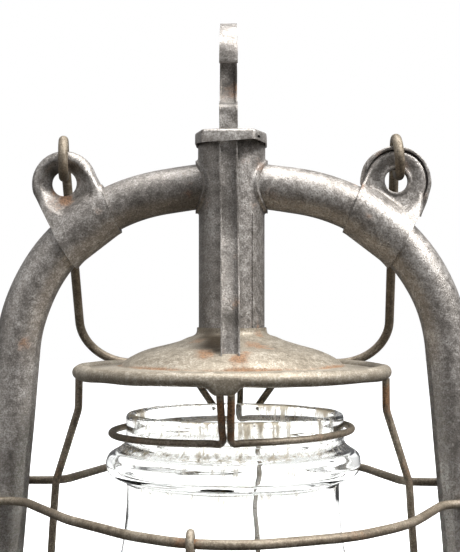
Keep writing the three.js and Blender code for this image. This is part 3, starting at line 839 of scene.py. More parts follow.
# ---- what a user would change ----
class LanternSizes(bpy.types.PropertyGroup):
    """Sizes of the lantern's pieces that its frame leaves open."""

    sheet: bpy.props.FloatProperty(
        name="Sheet", description="Wall of the tinned sheet",
        default=SHEET * MM, min=0.0004, max=0.0012, unit="LENGTH",
    )
    flange: bpy.props.FloatProperty(
        name="Strap flange", description="How far the strap's flanges stand from its web",
        default=1.35 * MM, min=0.0005, max=0.003, unit="LENGTH",
    )
    wander: bpy.props.FloatProperty(
        name="Wire wander", description="How far hand-bent wires wander from their line",
        default=0.5 * MM, min=0.0, max=0.001, unit="LENGTH",
    )
    dent: bpy.props.FloatProperty(
        name="Dents", description="Depth of the wide dents in old sheet",
        default=0.18 * MM, min=0.0, max=0.0006, unit="LENGTH",
    )


class LanternColours(bpy.types.PropertyGroup):
    """The middle tone of each mottled metal."""

    steel: bpy.props.FloatVectorProperty(
        name="Tinned steel", description="Middle tone of the tubes, cap and ears",
        default=rgb(142, 136, 130)[:3], min=0.0, max=1.0, subtype="COLOR",
    )
    hood: bpy.props.FloatVectorProperty(
        name="Hood", description="Middle tone of the hood",
        default=rgb(151, 141, 125)[:3], min=0.0, max=1.0, subtype="COLOR",
    )
    wire: bpy.props.FloatVectorProperty(
        name="Wire", description="Middle tone of the wires",
        default=rgb(124, 112, 95)[:3], min=0.0, max=1.0, subtype="COLOR",
    )
    brass: bpy.props.FloatVectorProperty(
        name="Brass", description="Middle tone of the burner",
        default=rgb(140, 116, 72)[:3], min=0.0, max=1.0, subtype="COLOR",
    )


class StudioSetup(bpy.types.PropertyGroup):
    """Camera and lights."""

    distance: bpy.props.FloatProperty(
        name="Camera distance", description="From the lantern's axis to the camera",
        default=0.394, min=0.2, unit="LENGTH",
    )
    turn: bpy.props.FloatProperty(
        name="Camera turn", description="Round the lantern from its front",
        default=math.radians(2), subtype="ANGLE", unit="ROTATION",
    )
    height: bpy.props.FloatProperty(
        name="Camera height", description="Height of the level camera", default=0.199, unit="LENGTH",
    )
    key: bpy.props.FloatProperty(
        name="Key light", description="Power of the soft light from the upper right",
        default=31.0, min=0.0, unit="POWER",
    )
    fill: bpy.props.FloatProperty(
        name="Fill light", description="Power of the wide light from the left",
        default=3.6, min=0.0, unit="POWER",
    )
    room: bpy.props.FloatProperty(
        name="Room light", description="Strength of the light that the white room throws on the lantern",
        default=0.5, min=0.0, max=2.0, subtype="FACTOR",
    )


# ---- the pieces ----
def shoulder_centre():
    """Centre of the right-hand tube's shoulder bend."""
    back, ahead = (TUBE_START - SHOULDER).normalized(), (FOOT - SHOULDER).normalized()
    half = back.angle(ahead) / 2
    return SHOULDER + (back + ahead).normalized() * (SHOULDER_BEND / math.sin(half))


SHOULDER_CENTRE = shoulder_centre()


def on_shoulder(degrees):
    """A point of the right-hand tube's centre line on its shoulder."""
    turn = math.radians(degrees)
    return SHOULDER_CENTRE + Vector((math.cos(turn), 0, math.sin(turn))) * SHOULDER_BEND


def shoulder_line(start, end, steps=24):
    """The centre line of the shoulder between two angles."""
    return [on_shoulder(start + (end - start) * i / steps) for i in range(steps + 1)]


def round_section(radius, sides=48):
    """The section of a round bar, for sweep."""
    ring = [(radius * math.cos(turn), radius * math.sin(turn)) for turn in full_turn(sides)]
    return lambda station: ring


def beyond(degrees, tilt, side, far):
    """A block that takes away what lies past a slanting end of the sleeve on the shoulder."""
    turn = math.radians(degrees + tilt)
    along, away = Vector((math.cos(turn), 0, math.sin(turn))), Vector((-math.sin(turn), 0, math.cos(turn)))
    corners = []
    for reach in (-18, far):
        corners += [on_shoulder(degrees) + along * reach + away * (side * depth) for depth in (0, 16)]
    outline = [(corner.x, corner.z) for corner in (corners[0], corners[1], corners[3], corners[2])]
    return slab("beyond", outline, -20, 20, upright=True)


class LANTERN_OT_air_tubes(bpy.types.Operator):
    """Bends the two side tubes, with their lock seam, from the chimney to the air chamber"""

    bl_idname = "lantern.air_tubes"
    bl_label = "Air Tubes"

    def execute(self, context):
        sizes = context.scene.lantern_sizes
        sides = 72
        seam_height = 0.32
        seam_start, seam_creep = 112, 20
        path = bent_path([TUBE_START, SHOULDER, FOOT, TUBE_END], [SHOULDER_BEND, FOOT_BEND], 2.0)

        def seam(station, turn):
            """The folded seam, which creeps forward as the tube comes down."""
            middle = math.radians(seam_start + seam_creep * station / len(path))
            off = abs(turn - middle) / (2 * math.pi / sides)
            return seam_height if off < 0.8 else (seam_height * 0.5 if off < 1.8 else 0.0)

        for name, side in SIDES:
            piece = pipe("air_tube_" + name, path, TUBE_RADIUS, sizes.sheet / MM, sides, FRONT_BACK, seam)
            dented(piece, sizes.dent / MM, 16, 4.0 * side)
            if side < 0:
                flipped(piece, LEFT_RIGHT)
            rust = [
                (side * 15, -5, 247, 5, 0.22), (side * 14.5, -7, 240, 4, 0.3),
                (side * 43.5, 0, 243, 5, 0.45), (side * 46, -6, 230, 5, 0.4),
                (side * 63, -2, 217, 6, 0.4), (side * 70, 0, 226, 6, 0.3),
            ]
            grime_and_shade = [
                (side * 30, -2, 234, 14, 0.2), (side * 45, 2, 224, 10, 0.18), (side * 20, -2, 236, 8, 0.2),
            ]
            if side < 0:
                rust.append((-73, -7, 187.5, 3.6, 0.5))
                grime_and_shade += [(-14, -6, 240, 7, 0.4), (-16, -3, 250, 6, 0.3)]
            sheet_piece(name + "_air_tube", piece, 50, rust, grime_and_shade)
        return {"FINISHED"}


class LANTERN_OT_chimney(bpy.types.Operator):
    """Builds the central tube with a collar pulled out round each side tube and a folded seam"""

    bl_idname = "lantern.chimney"
    bl_label = "Chimney Tube"

    def execute(self, context):
        wall = context.scene.lantern_sizes.sheet / MM
        slope = math.degrees(math.atan2(TUBE_HIGH - SHOULDER.z, SHOULDER.x - TUBE_START.x))
        collar_radius = 9.3

        def along_tubes(radius, start, end, name):
            """A round bar on the line of a side tube, on both sides."""
            bars = []
            for side in (1, -1):
                turn = Matrix.Rotation(math.radians(90 + slope), 4, "Y")
                made = moved(bar(name, radius, start, end, 64), Matrix.Translation(TUBE_START) @ turn)
                bars.append(made if side > 0 else flipped(made, LEFT_RIGHT))
            return bars

        flare = 0.25
        tube = lathe("chimney", [
            (0, CHIMNEY_BOTTOM - 2), (CHIMNEY_RADIUS, CHIMNEY_BOTTOM - 2), (CHIMNEY_RADIUS, 236),
            (CHIMNEY_RADIUS + flare, 246), (CHIMNEY_RADIUS + flare, CHIMNEY_TOP + 2), (0, CHIMNEY_TOP + 2),
        ], 96, False)
        tube = combined([tube, *along_tubes(collar_radius, -8, 8, "collar")])
        pressed(tube, 0.38, 5)
        boolean(tube, [bar("reach", COLLAR_REACH, CHIMNEY_BOTTOM, CHIMNEY_TOP, 128)], "INTERSECT")
        bore = bar("bore", CHIMNEY_RADIUS - wall, CHIMNEY_BOTTOM - 5, CHIMNEY_TOP + 5, 96)
        boolean(tube, [bore, *along_tubes(TUBE_RADIUS + GAP, -9, 14, "mouth")], "DIFFERENCE")
        seam_turn = math.radians(44)
        seam_bottom, seam_top = CHIMNEY_BOTTOM + 1, 233
        seam = block("seam", (2.0, 1.0, seam_top - seam_bottom), (0, 0, (seam_top + seam_bottom) / 2))
        seam_radius = CHIMNEY_RADIUS - 0.22
        moved(seam, Matrix.Rotation(seam_turn, 4, "Z") @ Matrix.Translation((0, -seam_radius, 0)))
        boolean(tube, [seam], "UNION")
        rust = [
            (9.5, -6, 250, 4, 0.4), (12, -5, 246, 3, 0.5), (9, -9, 236, 3, 0.4), (-9, -9, 237, 4, 0.3),
            (9, -8, 193, 3.5, 0.5), (3, -11, 252, 4, 0.25), (0, -12, 203.1, 5, 0.2),
        ]
        # darker down the chimney's left side, and a narrow painted shadow of the strap just left of it
        grime_and_shade = [(-8, -9, 200 + 9 * i, 8, 0.12) for i in range(7)]
        grime_and_shade += [(-4, -11, 192 + 6 * i, 2.2, 0.35) for i in range(11)]
        sheet_piece("chimney_tube", tube, 32, rust, grime_and_shade)
        return {"FINISHED"}


class LANTERN_OT_cap(bpy.types.Operator):
    """Presses the small flanged cap that closes the chimney in front and round its sides"""

    bl_idname = "lantern.cap"
    bl_label = "Top Cap"

    FRONT_HALF = 9.2

    def outline(self, inset):
        """The cap from above: round behind, and flat in front with slanting corners."""
        half = CAP_HALF - 0.4 - inset
        front, front_half = CAP_FRONT + inset, self.FRONT_HALF - inset / 2
        return [
            *arc((0, 0), half, 0, 180, 40), (-half, -8.5), (STRAP_X - front_half, front),
            (STRAP_X + front_half, front), (half, -8.5),
        ]

    def execute(self, context):
        wall = 0.45
        cap = slab("cap", self.outline(0), CAP_BOTTOM - 2, CAP_TOP)
        chamfered(cap, 1.1, 4, 30)
        under = slab("under", self.outline(-3), CAP_BOTTOM - 6, CAP_BOTTOM)
        inside = slab("inside", self.outline(wall), CAP_BOTTOM - 4, CAP_TOP - wall)
        slot = block("slot", (STRAP_WIDTH + 1, 4, 8), (STRAP_X, -14.5, CAP_TOP))
        pin_hole = about((9.9, -14.6, 259.0), bar("pin hole", 0.5, -3, 3, 12))
        boolean(cap, [under, inside, slot, pin_hole], "DIFFERENCE")
        front_rise = 1.1
        for vertex in cap.data.vertices:
            place = vertex.co / MM
            if place.z < CAP_BOTTOM + 1.2:
                share = 0.75
                if place.y < -12:
                    share = (place.x - STRAP_X + self.FRONT_HALF) / (2 * self.FRONT_HALF)
                vertex.co.z += MM * front_rise * clamped(share)
        dented(cap, 0.25, 5, 2.0)
        rust = [
            (-3.5, -17, 260, 3, 0.5), (-6.5, -17, 258, 3, 0.3), (10, -14, 258, 3, 0.2),
            (-2, -14, 262, 4, 0.4),
        ]
        sheet_piece("top_cap", cap, 40, rust, [(-11, -10, 258, 3, 0.5), (-5, -17, 257, 3, 0.3)])
        return {"FINISHED"}


def ear_form(name, eye, rolled):
    """One ear: a sleeve on the tube whose two leaves run together into an eye. A rolled ear has a fat
    rim round a deep dish; the other has a flat leaf with a lip round its hole."""
    seat_from, seat_to = 63.2, 43
    sleeve_radius = TUBE_RADIUS + GAP + 0.95
    sleeve = sweep(name, shoulder_line(seat_from + 7, seat_to - 7), round_section(sleeve_radius), FRONT_BACK)
    facing = math.degrees(math.atan2(SHOULDER_CENTRE.z - eye.z, SHOULDER_CENTRE.x - eye.x))
    rings = ((11.5, 0.7), (9.8, 2.4)) if rolled else ((10.7, 1.3), (10.2, 2.0))
    foot_radius = 9.0
    cloud = []
    for radius, leaf in rings:
        for i in range(21):
            turn = math.radians(facing - 100 + 10 * i)
            for y in (leaf, -leaf):
                cloud.append(eye + Vector((radius * math.cos(turn), y, radius * math.sin(turn))))
    for degrees in (seat_from, seat_to - 1):
        out = (on_shoulder(degrees) - SHOULDER_CENTRE).normalized()
        for turn in full_turn(36):
            around = Vector((0, 1, 0)) * math.cos(turn) + out * math.sin(turn)
            cloud.append(on_shoulder(degrees) + around * foot_radius)
    neck = hull("neck", cloud)
    if rolled:
        middle, half_width, half_depth = 8.7, 3.15, 2.95
        bead = [
            (middle + half_width * math.cos(turn), half_depth * math.sin(turn)) for turn in full_turn(24)
        ]
        ring = about(eye, lathe("rim", bead, 72))
        web = about(eye, bar("web", 7, -0.75, 0.75, 48))
        dish = [
            (0, 0.62), (5.0, 0.66), (6.4, 1.2), (7.8, 2.3), (9.2, 3.7), (11.2, 5.9), (13, 8.4),
            (14, 14), (0, 14),
        ]
    else:
        edge = [
            (0, -2.2), (9.6, -2.2), (10.5, -2.0), (11.0, -1.2), (11.0, 1.2), (10.5, 2.0), (9.6, 2.2),
            (0, 2.2),
        ]
        ring = about(eye, lathe("rim", edge, 72, False))
        web = None
        dish = [(0, 1.5), (5.4, 1.5), (7.4, 1.9), (9.6, 2.7), (11.4, 4.4), (13, 7.4), (14, 14), (0, 14)]
    body = combined([neck, ring])
    pressed(body, 0.42, 6)
    tools = []
    for leaf in (1, -1):
        tool = about(eye, lathe("dish", dish, 64, False))
        tools.append(tool if leaf > 0 else flipped(tool, FRONT_BACK))
    boolean(body, tools, "DIFFERENCE")
    body = combined([body, sleeve, web] if web else [body, sleeve])
    pressed(body, 0.38, 24)
    if not rolled:
        lips = []
        middle, half_width, half_depth, stand = 4.75, 0.7, 0.55, 1.35
        for side in (-1, 1):
            lip = [
                (middle + half_width * math.cos(turn), side * stand + half_depth * math.sin(turn))
                for turn in full_turn(16)
            ]
            lips.append(about(eye, lathe("lip", lip, 64)))
        body = combined([body, *lips])
        pressed(body, 0.34, 5)
    tube = sweep("tube", shoulder_line(100, 8, 60), round_section(TUBE_RADIUS + GAP, 64), FRONT_BACK)
    hole = about(eye, bar("hole", EAR_HOLE - (0.1 if rolled else 0.45), -12, 12, 48))
    ends = [beyond(seat_from, 5, 1, 9.8), beyond(seat_to, 17, -1, 30)]
    return boolean(body, [hole, tube, *ends], "DIFFERENCE")


class LANTERN_OT_ears(bpy.types.Operator):
    """Presses the two sheet ears that wrap the tubes' shoulders and carry the bail"""

    bl_idname = "lantern.ears"
    bl_label = "Bail Ears"

    def folded_edge(self, eye):
        """The back leaf's edge, folded forward over the front leaf and thinning out at both ends."""
        radius, start, end, steps = 11.35, -19, 185, 56
        tail = Vector((66.4, 0, 232.8))
        round_part = [
            eye + Vector((radius * math.cos(math.radians(a)), 0, radius * math.sin(math.radians(a))))
            for a in (start + (end - start) * i / steps for i in range(steps + 1))
        ]
        line = divided([tail, round_part[0]], 1.0)[:-1] + round_part
        last = len(line) - 1

        def section(station):
            share = min(1.0, min(station, last - station) / 8)
            front = 0.2 + 2.15 * share
            half = 0.25 + 0.2 * share
            return [
                (front, half - 0.12), (-2.2, half), (-2.2, -half - 0.9), (-1.3, -half - 0.9), (-0.9, -half),
                (front, -half - 0.1),
            ]

        fold = sweep("fold", line, section, (0, -1, 0))
        return dented(chamfered(fold, 0.12, 2, 30), 0.25, 4, 3.0)

    def execute(self, context):
        right_eye, left_eye = EAR + Vector((-0.8, 0, -0.3)), EAR + Vector((0.8, 0, -0.8))
        right = combined([ear_form("right_ear", right_eye, rolled=False), self.folded_edge(right_eye)])
        rust = [
            (44.5, -5, 243, 3, 0.55), (48, -8, 232, 3, 0.4), (66, -8, 222, 3.5, 0.5),
            (62, -2.5, 250, 3, 0.35), (52, -3, 255, 3, 0.4), (60, -3, 256, 3, 0.3), (69, -2, 240, 3, 0.35),
        ]
        sheet_piece("right_bail_ear", right, 36, rust, [(58, -2, 250, 3.5, 0.55), (60, -9, 226, 6, 0.2)])
        left = flipped(ear_form("left_ear", left_eye, rolled=True), LEFT_RIGHT)
        rust = [
            (-59, -2, 239.4, 3.0, 0.6), (-63.5, -2, 242.5, 2.4, 0.4), (-45, -4, 244, 2.2, 0.6),
            (-63, -4, 237, 5, 0.3), (-55, -1.5, 245, 2.4, 0.35), (-46, -8, 234, 3, 0.35),
            (-55, -7, 234, 5, 0.15),
        ]
        grime_and_shade = [
            (-63, -1.5, 248, 3.4, 0.9), (-63, -1, 243.5, 2.8, 0.6), (-57, -1, 250.5, 2.6, 0.6),
            (-52, -7, 228, 5, 0.3),
        ]
        sheet_piece("left_bail_ear", left, 36, rust, grime_and_shade)
        return {"FINISHED"}


class LANTERN_OT_bail(bpy.types.Operator):
    """Bends the wire bail, from the open eye in one ear to the open eye in the other"""

    bl_idname = "lantern.bail"
    bl_label = "Bail"

    def execute(self, context):
        drop = BAIL_PIVOT_Z - BAIL_BAR.z
        lean = math.atan2(BAIL_BAR.y, drop) - math.asin(BAIL_EYE_RADIUS / math.hypot(BAIL_BAR.y, drop))
        first = math.degrees(lean)
        bar_bend, shift = 20, Vector((-0.7, 0, 0))
        halves = []
        for side in (1, -1):
            eye = []
            for y, z in arc((0, BAIL_PIVOT_Z), BAIL_EYE_RADIUS, first + 310, first, 60):
                stray = 0.15 * y if side < 0 else 0.1 * (BAIL_PIVOT_Z - z)
                eye.append(Vector((side * (BAIL_EYE_X + stray), y, z)) + shift)
            corner = Vector((side * BAIL_BAR.x, BAIL_BAR.y, BAIL_BAR.z)) + shift
            opposite = Vector((-side * BAIL_BAR.x, BAIL_BAR.y, BAIL_BAR.z)) + shift
            curve = bend(eye[-1], corner, opposite, bar_bend, 1.5)
            halves.append([*eye, *divided([eye[-1], curve[0]], 4)[1:-1], *curve])
        across = divided([halves[0][-1], halves[1][-1]], 4)[1:-1]
        path = [*halves[0], *across, *reversed(halves[1])]
        rust = [(side * BAIL_EYE_X, -4, 251, 4, 0.4) for side in (1, -1)]
        rust += [(62, 20, 215, 8, 0.3), (-62, 10, 230, 6, 0.2)]
        grime_and_shade = [(-BAIL_EYE_X, -4, 247.5, 3, 0.5), (BAIL_EYE_X, -2, 246, 3, 0.5)]
        wire("bail", path, BAIL_WIRE, 0.15, 24, rust, grime_and_shade)
        return {"FINISHED"}


class LANTERN_OT_guard(bpy.types.Operator):
    """Bends the two guard wires round the globe and the uprights that hold them"""

    bl_idname = "lantern.guard"
    bl_label = "Wire Guard"

    def execute(self, context):
        wander = context.scene.lantern_sizes.wander / MM
        front = [
            (-GUARD_OUT, -GUARD_TOUCH), (-72.5, -GUARD_TOUCH), (-50.6, -43.9), (-28.6, -67.2), (-2, -84.9),
            (38.3, -67.2), (56.9, -48.8), (74, -GUARD_TOUCH), (GUARD_OUT, -GUARD_TOUCH),
        ]
        back = [
            (-GUARD_OUT, GUARD_TOUCH), (-62.5, GUARD_TOUCH), (-50, 48), (-28, GUARD_DEPTH),
            (28, GUARD_DEPTH), (50, 48), (62.5, GUARD_TOUCH), (GUARD_OUT, GUARD_TOUCH),
        ]
        line = bent_path([(x, y, FRONT_GUARD_Z) for x, y in front], [10, 60, 60, 35, 40, 50, 10])
        rust = [(-10, -79, FRONT_GUARD_Z, 7, 0.4), (40, -66, 132, 9, 0.3)]
        wire("front_guard_wire", line, GUARD_WIRE, wander, rust=rust)
        line = bent_path([(x, y, BACK_GUARD_Z) for x, y in back], [8, 50, 36, 36, 50, 8])
        wire("back_guard_wire", line, GUARD_WIRE, wander)
        hook = GUARD_WIRE + UPRIGHT_WIRE + GAP
        for name, out, level in (("front", -1, FRONT_GUARD_Z), ("back", 1, BACK_GUARD_Z)):
            x = out * UPRIGHT_X
            inside, outside = out * (GUARD_DEPTH - hook), out * (GUARD_DEPTH + hook)
            corners = [
                (x, out * 42.4, 45), (x, inside, 76), (x, inside, level + hook), (x, outside, level + hook),
                (x, outside, level - 2),
            ]
            line = bent_path(corners, [20, hook - 0.05, hook - 0.05], 1.0)
            wire(name + "_upright_wire", line, UPRIGHT_WIRE, 0.1)
        return {"FINISHED"}


class LANTERN_OT_hood(bpy.types.Operator):
    """Turns the domed hood with its rolled rim and the lip that holds the neck wires"""

    bl_idname = "lantern.hood"
    bl_label = "Hood"

    def execute(self, context):
        dome = flowing([
            (12.35, 193.2), (12.95, 190.9), (15.9, 189.7), (18.4, 188.6), (23.4, 187.1), (30.5, 185.1),
            (36.4, 182.4), (39.6, 180.0),
        ], 4)
        bead_radius, bead_z = RIM_WIRE + 0.4, RIM_Z + 0.2
        brim = flowing([(39.9, 179.7), (44, 179.4), (49, 178.9), (51.5, 178.6)], 3)
        bead = arc((RIM_RADIUS - 0.1, bead_z), bead_radius, 157, -172, 30)
        under = flowing([(51.2, 177.9), (46, 178.6), (39.8, 178.9)], 3)
        crown = flowing([
            (39.4, 179.0), (35.6, 181.8), (30.2, 184.3), (23.2, 186.3), (18.2, 187.6), (15.6, 188.9),
            (12.6, 190.0), (12.0, 192.4),
        ], 4)
        lip_drop, lip_half, lip_blend = 2.6, 2.7, 3.6
        bead_inside, bead_level, bead_depth = RIM_RADIUS - 2.7, RIM_Z + 0.3, 2.1

        def lip(point):
            """Pulls the bead down in front into a short flat lip."""
            if point.y > 0 or point.xy.length < bead_inside or point.z > bead_level:
                return point
            share = 1 - clamped((abs(point.x - STRAP_X) - lip_half) / lip_blend)
            share = share * share * (3 - 2 * share)
            depth = clamped((bead_level - point.z) / bead_depth)
            return point - Vector((0, 0, lip_drop * share * depth))

        hood = lathe("hood", [*dome, *brim, *bead, *under, *crown], 300, True, lip)
        dented(hood, 0.35, 14, 7.0)
        crease_radius, crease_z = 40, 180
        rust = []
        for a in full_turn(120):
            strength = 0.34 + 0.1 * math.sin(7 * a)
            rust.append((crease_radius * math.sin(a), -crease_radius * math.cos(a), crease_z, 1.5, strength))
        rust += [
            (-7.5, -31, 184, 4, 0.55), (3.5, -35, 183, 3.6, 0.7), (-9, -26, 186, 3.5, 0.35),
            (8, -20, 188, 5, 0.45), (10, -9, 191, 3, 0.45), (-12, -14, 189, 4, 0.4), (15, -22, 187, 6, 0.25),
            (6, -30, 184.5, 3, 0.4),
        ]
        # a painted shadow of the strap on the dome, darkest left of the strap's foot, and grime right of it
        grime_and_shade = [
            (-5, -22, 187.5, 4.5, 0.75), (-4, -16, 190, 4.5, 0.8), (-9, -11, 190.5, 4, 0.6),
            (-3.8, -28, 185.5, 3, 0.7), (-10, -20, 188, 6, 0.3), (8, -24, 187, 5, 0.3),
            (5, -17, 190, 3, 0.35),
        ]
        turns = [turn - math.pi / 2 for turn in (0.9, 1.4, 2.3, 3.4, 4.4, 5.2)]
        grime_and_shade += round_spots(22, 187, turns, 5, 0.14)
        sheet_piece("hood_plate", hood, 42, rust, grime_and_shade)
        return {"FINISHED"}


class LANTERN_OT_strap(bpy.types.Operator):
    """Folds the channel strap that stands on the hood and ends above the cap in a ring hook"""

    bl_idname = "lantern.strap"
    bl_label = "Lift Strap and Hook"

    def execute(self, context):
        flange = context.scene.lantern_sizes.flange / MM
        foot, knee = Vector((STRAP_X, -31.4, 183.6)), Vector((STRAP_X, STRAP_Y, 229))
        ledge = Vector((STRAP_X, STRAP_Y, 269.9))
        ring = [Vector((STRAP_X, y, z)) for y, z in arc((0, HOOK_Z), HOOK_RADIUS, -113, 184, 110)]
        shank = bent_path([foot, knee, ledge, ring[0]], [30, 2.2], 0.9)
        path = shank + ring[1:]
        half_width, web = STRAP_WIDTH / 2, 0.45
        hook_web, hook_flange = 0.75, 0.95
        fold = 0.55
        flange_top = CAP_BOTTOM + 1

        def section(station):
            place = path[station]
            on_ring = station >= len(shank)
            lead = clamped((station - len(shank) + 6) / 10)
            thick = web + (hook_web - web) * lead
            if on_ring or place.z > 269:
                rise = max(0.03, hook_flange * lead)
            else:
                rise = max(0.03, flange * clamped((flange_top + 3 - place.z) / 3))
            half = half_width - 0.3 * clamped((place.z - 287) / 12)
            top = thick + rise
            return [
                (-half, -thick), (half, -thick), (half, top), (half - fold, top), (half - fold, thick),
                (-half + fold, thick), (-half + fold, top), (-half, top),
            ]

        strap = sweep("strap", path, section, LEFT_RIGHT)
        twist, stray = 0.038, 1.3
        for vertex in strap.data.vertices:
            place = vertex.co / MM
            low_share = clamped((250 - place.z) / 64)
            turned = twist * (place.y - STRAP_Y) if place.z > 262 else 0.0
            vertex.co.x += MM * (stray * low_share - turned)
        chamfered(strap, 0.16, 2, 40)
        dented(strap, 0.12, 6, 5.0)
        rust = [
            (-1, -30, 185, 3, 0.4), (1.6, -24, 202, 4, 0.5), (1.7, -18, 218, 3, 0.35), (0, -14, 262, 3, 0.2),
            (-0.6, 12, 280, 7, 0.4), (0, -12, 277, 4, 0.2),
        ]
        # painted shade along the web, standing in for light it does not catch; a painted shadow under the
        # cap; the back of the hook ring darker as painted shade and dirt; and darker at the hook's tip
        grime_and_shade = [(0.4, -31 + 3 * i, 184 + 8 * i, 6, 0.4) for i in range(9)]
        grime_and_shade += [
            (0, -14, 254, 3, 0.6), (0, 14, 285, 7, 0.55), (-0.6, -14.5, 285.5, 2, 0.35),
            (1.4, -26, 196, 4, 0.35), (0, 13, 278, 5, 0.3),
        ]
        sheet_piece("lift_strap", strap, 40, rust, grime_and_shade)
        return {"FINISHED"}


class LANTERN_OT_neck_wires(bpy.types.Operator):
    """Bends the wire ring round the globe's neck, its legs and the two struts behind it"""

    bl_idname = "lantern.neck_wires"
    bl_label = "Neck Wires"

    def execute(self, context):
        for name, side in SIDES:
            front_leg = [(side * 1.75, -RIM_RADIUS - 0.3, 173.4), (side * 1.4, -47.2, 161.4)]
            back_leg = [(side * 1.75, 46.8, 163.6), (side * 1.75, RIM_RADIUS - 0.6, 174.2)]
            ring = []
            for i in range(37):
                turn = math.radians(-87.6 + 175.2 * i / 36)
                x, y = side * NECK_RING_RADIUS * math.cos(turn), NECK_RING_RADIUS * math.sin(turn)
                ring.append((x, y, NECK_RING_Z + 0.8 * side * math.cos(turn)))
            path = divided(flowing([*front_leg, *ring, *back_leg], 4), 2.0)
            rust = [
                (side * 1.9, -52, 168, 5, 0.75), (side * 1.9, -46, 160, 4, 0.5),
                (side * 30, -30, 157, 10, 0.25),
            ]
            wire(name + "_neck_wire", path, NECK_WIRE, 0.12, 18, rust, [(0, -42, 156, 5, 0.3)])
            strut = divided([Vector((side * 18.4, 50.8, 174.4)), Vector((side * 8.2, 44.6, 160.4))], 2.0)
            wire(name + "_back_strut", strut, LIFT_WIRE, 0.2)
        return {"FINISHED"}


class LANTERN_OT_lift_wires(bpy.types.Operator):
    """Bends the two wires that hang the globe plate from the hood's rim"""

    bl_idname = "lantern.lift_wires"
    bl_label = "Lift Wires"

    def execute(self, context):
        wander = context.scene.lantern_sizes.wander / MM
        corners = [(54.8, 175.1), (55, 164), (63.1, 138), (66.2, 92), (62.5, 60.6), (46, 60.6)]
        for name, side in SIDES:
            path = bent_path([(side * x, 0, z) for x, z in corners], [9, 16, 60, 8], 1.5)
            rust = [(side * 55, 0, 168, 6, 0.65 if side > 0 else 0.15), (side * 63, 0, 142, 7, 0.3)]
            wire(name + "_lift_wire", path, LIFT_WIRE, wander, rust=rust)
        return {"FINISHED"}


class LANTERN_OT_globe_plate(bpy.types.Operator):
    """Turns the perforated plate that the globe sits on, with its standing rim"""

    bl_idname = "lantern.globe_plate"
    bl_label = "Globe Plate"

    def execute(self, context):
        top = PLATE_BOTTOM + 0.9
        outline = [
            (21.5, PLATE_BOTTOM), (50.2, PLATE_BOTTOM),
            *arc((PLATE_RADIUS - 0.6, PLATE_BOTTOM + 0.5), 0.6, -70, 70, 6), (50.2, top),
            (44.2, top), (43.95, top + 0.3), (43.95, 62.1), *arc((43.6, 62.1), 0.33, 0, 180, 6), (43.25, top),
            (38, top), (37.2, top - 0.12), (36.4, top),
            (26.5, top), (25.7, top - 0.12), (24.9, top), (21.5, top),
        ]
        plate = lathe("plate", outline, 144)
        finish = finish_of(SLOT_OF["globe_plate"])
        for count, ring, hole in ((20, 31, 1.9), (26, 34.5, 0.9), (20, 27.8, 0.9), (40, 47.3, 1.1)):
            punched(plate, finish, count, ring, hole, 8, top)
        notch = block("notch", (2 * PLATE_RADIUS + 2, 2 * LIFT_WIRE + 1, 4.4), (0, 0, top + 2.35))
        boolean(plate, [notch], "DIFFERENCE")
        rust = round_spots(47, top, (0.3, 1.9, 3.3, 4.6, 5.5), 7, 0.35)
        sheet_piece("globe_plate", plate, 35, rust)
        return {"FINISHED"}


class LANTERN_OT_globe(bpy.types.Operator):
    """Blows the clear glass globe, with its bulged shoulder and smoke-marked neck"""

    bl_idname = "lantern.globe"
    bl_label = "Glass Globe"

    def execute(self, context):
        foot_z, neck_z = 60.2, 161.4
        outside = flowing([
            (41, foot_z), (42.4, 66), (43.4, 78), (43, 92), (41.6, 104), (40, 113), (38.4, 124),
            (37.7, 134.5), (38.2, 138.9), (41.4, 140.6), (44.2, 142.2), (45.2, 145), (44.4, 148.4),
            (41.2, 150.6), (39.2, 152.4), (38.6, 155), (38.6, neck_z),
        ], 6)
        inside = flowing([
            (38.2, foot_z), (39.4, 66), (40.4, 78), (40, 92), (38.6, 104), (37, 113), (35.4, 124),
            (34.7, 134.5), (35.1, 139.2), (37.6, 141.6), (41.7, 143.3), (42.6, 145.2), (41.7, 147.7),
            (38.8, 149.4), (35.8, 151.8), (35.6, 155), (35.6, neck_z),
        ], 6)
        foot = arc((39.6, foot_z), 0.9, -165, -15, 8)
        round_top = arc((37.1, neck_z), 1.5, 0, 180, 12)[1:-1]
        rim = [(radius, neck_z + (z - neck_z) * 1.06) for radius, z in round_top]
        outline = [*foot, *outside, *rim, *reversed(inside)]
        lean = 1.1

        def off_centre(point):
            """The neck was blown a little to one side."""
            share = clamped((point.z - 146) / 6)
            return point + Vector((lean * (0.45 + 0.55 * share), 0, 0))

        globe = lathe("globe", outline, 160, True, off_centre)
        dented(globe, 0.22, 18, 1.0)
        dirty = []
        for turn in full_turn(40):
            smoke = 0.17 + 0.27 * math.sin(5.3 * turn) * math.cos(2.1 * turn)
            dirty += round_spots(37.5, 160, [turn - math.pi / 2], 6.5, smoke)
        dirty += round_spots(39, 151, full_turn(72), 2.4, 0.5)
        dirty += round_spots(36.8, 163, [turn + math.pi / 2 for turn in full_turn(90)], 1.5, 0.7)
        dirty += round_spots(38, 138, full_turn(60), 3.0, 0.3)
        sheet_piece("globe", globe, 80, (), dirty)
        return {"FINISHED"}


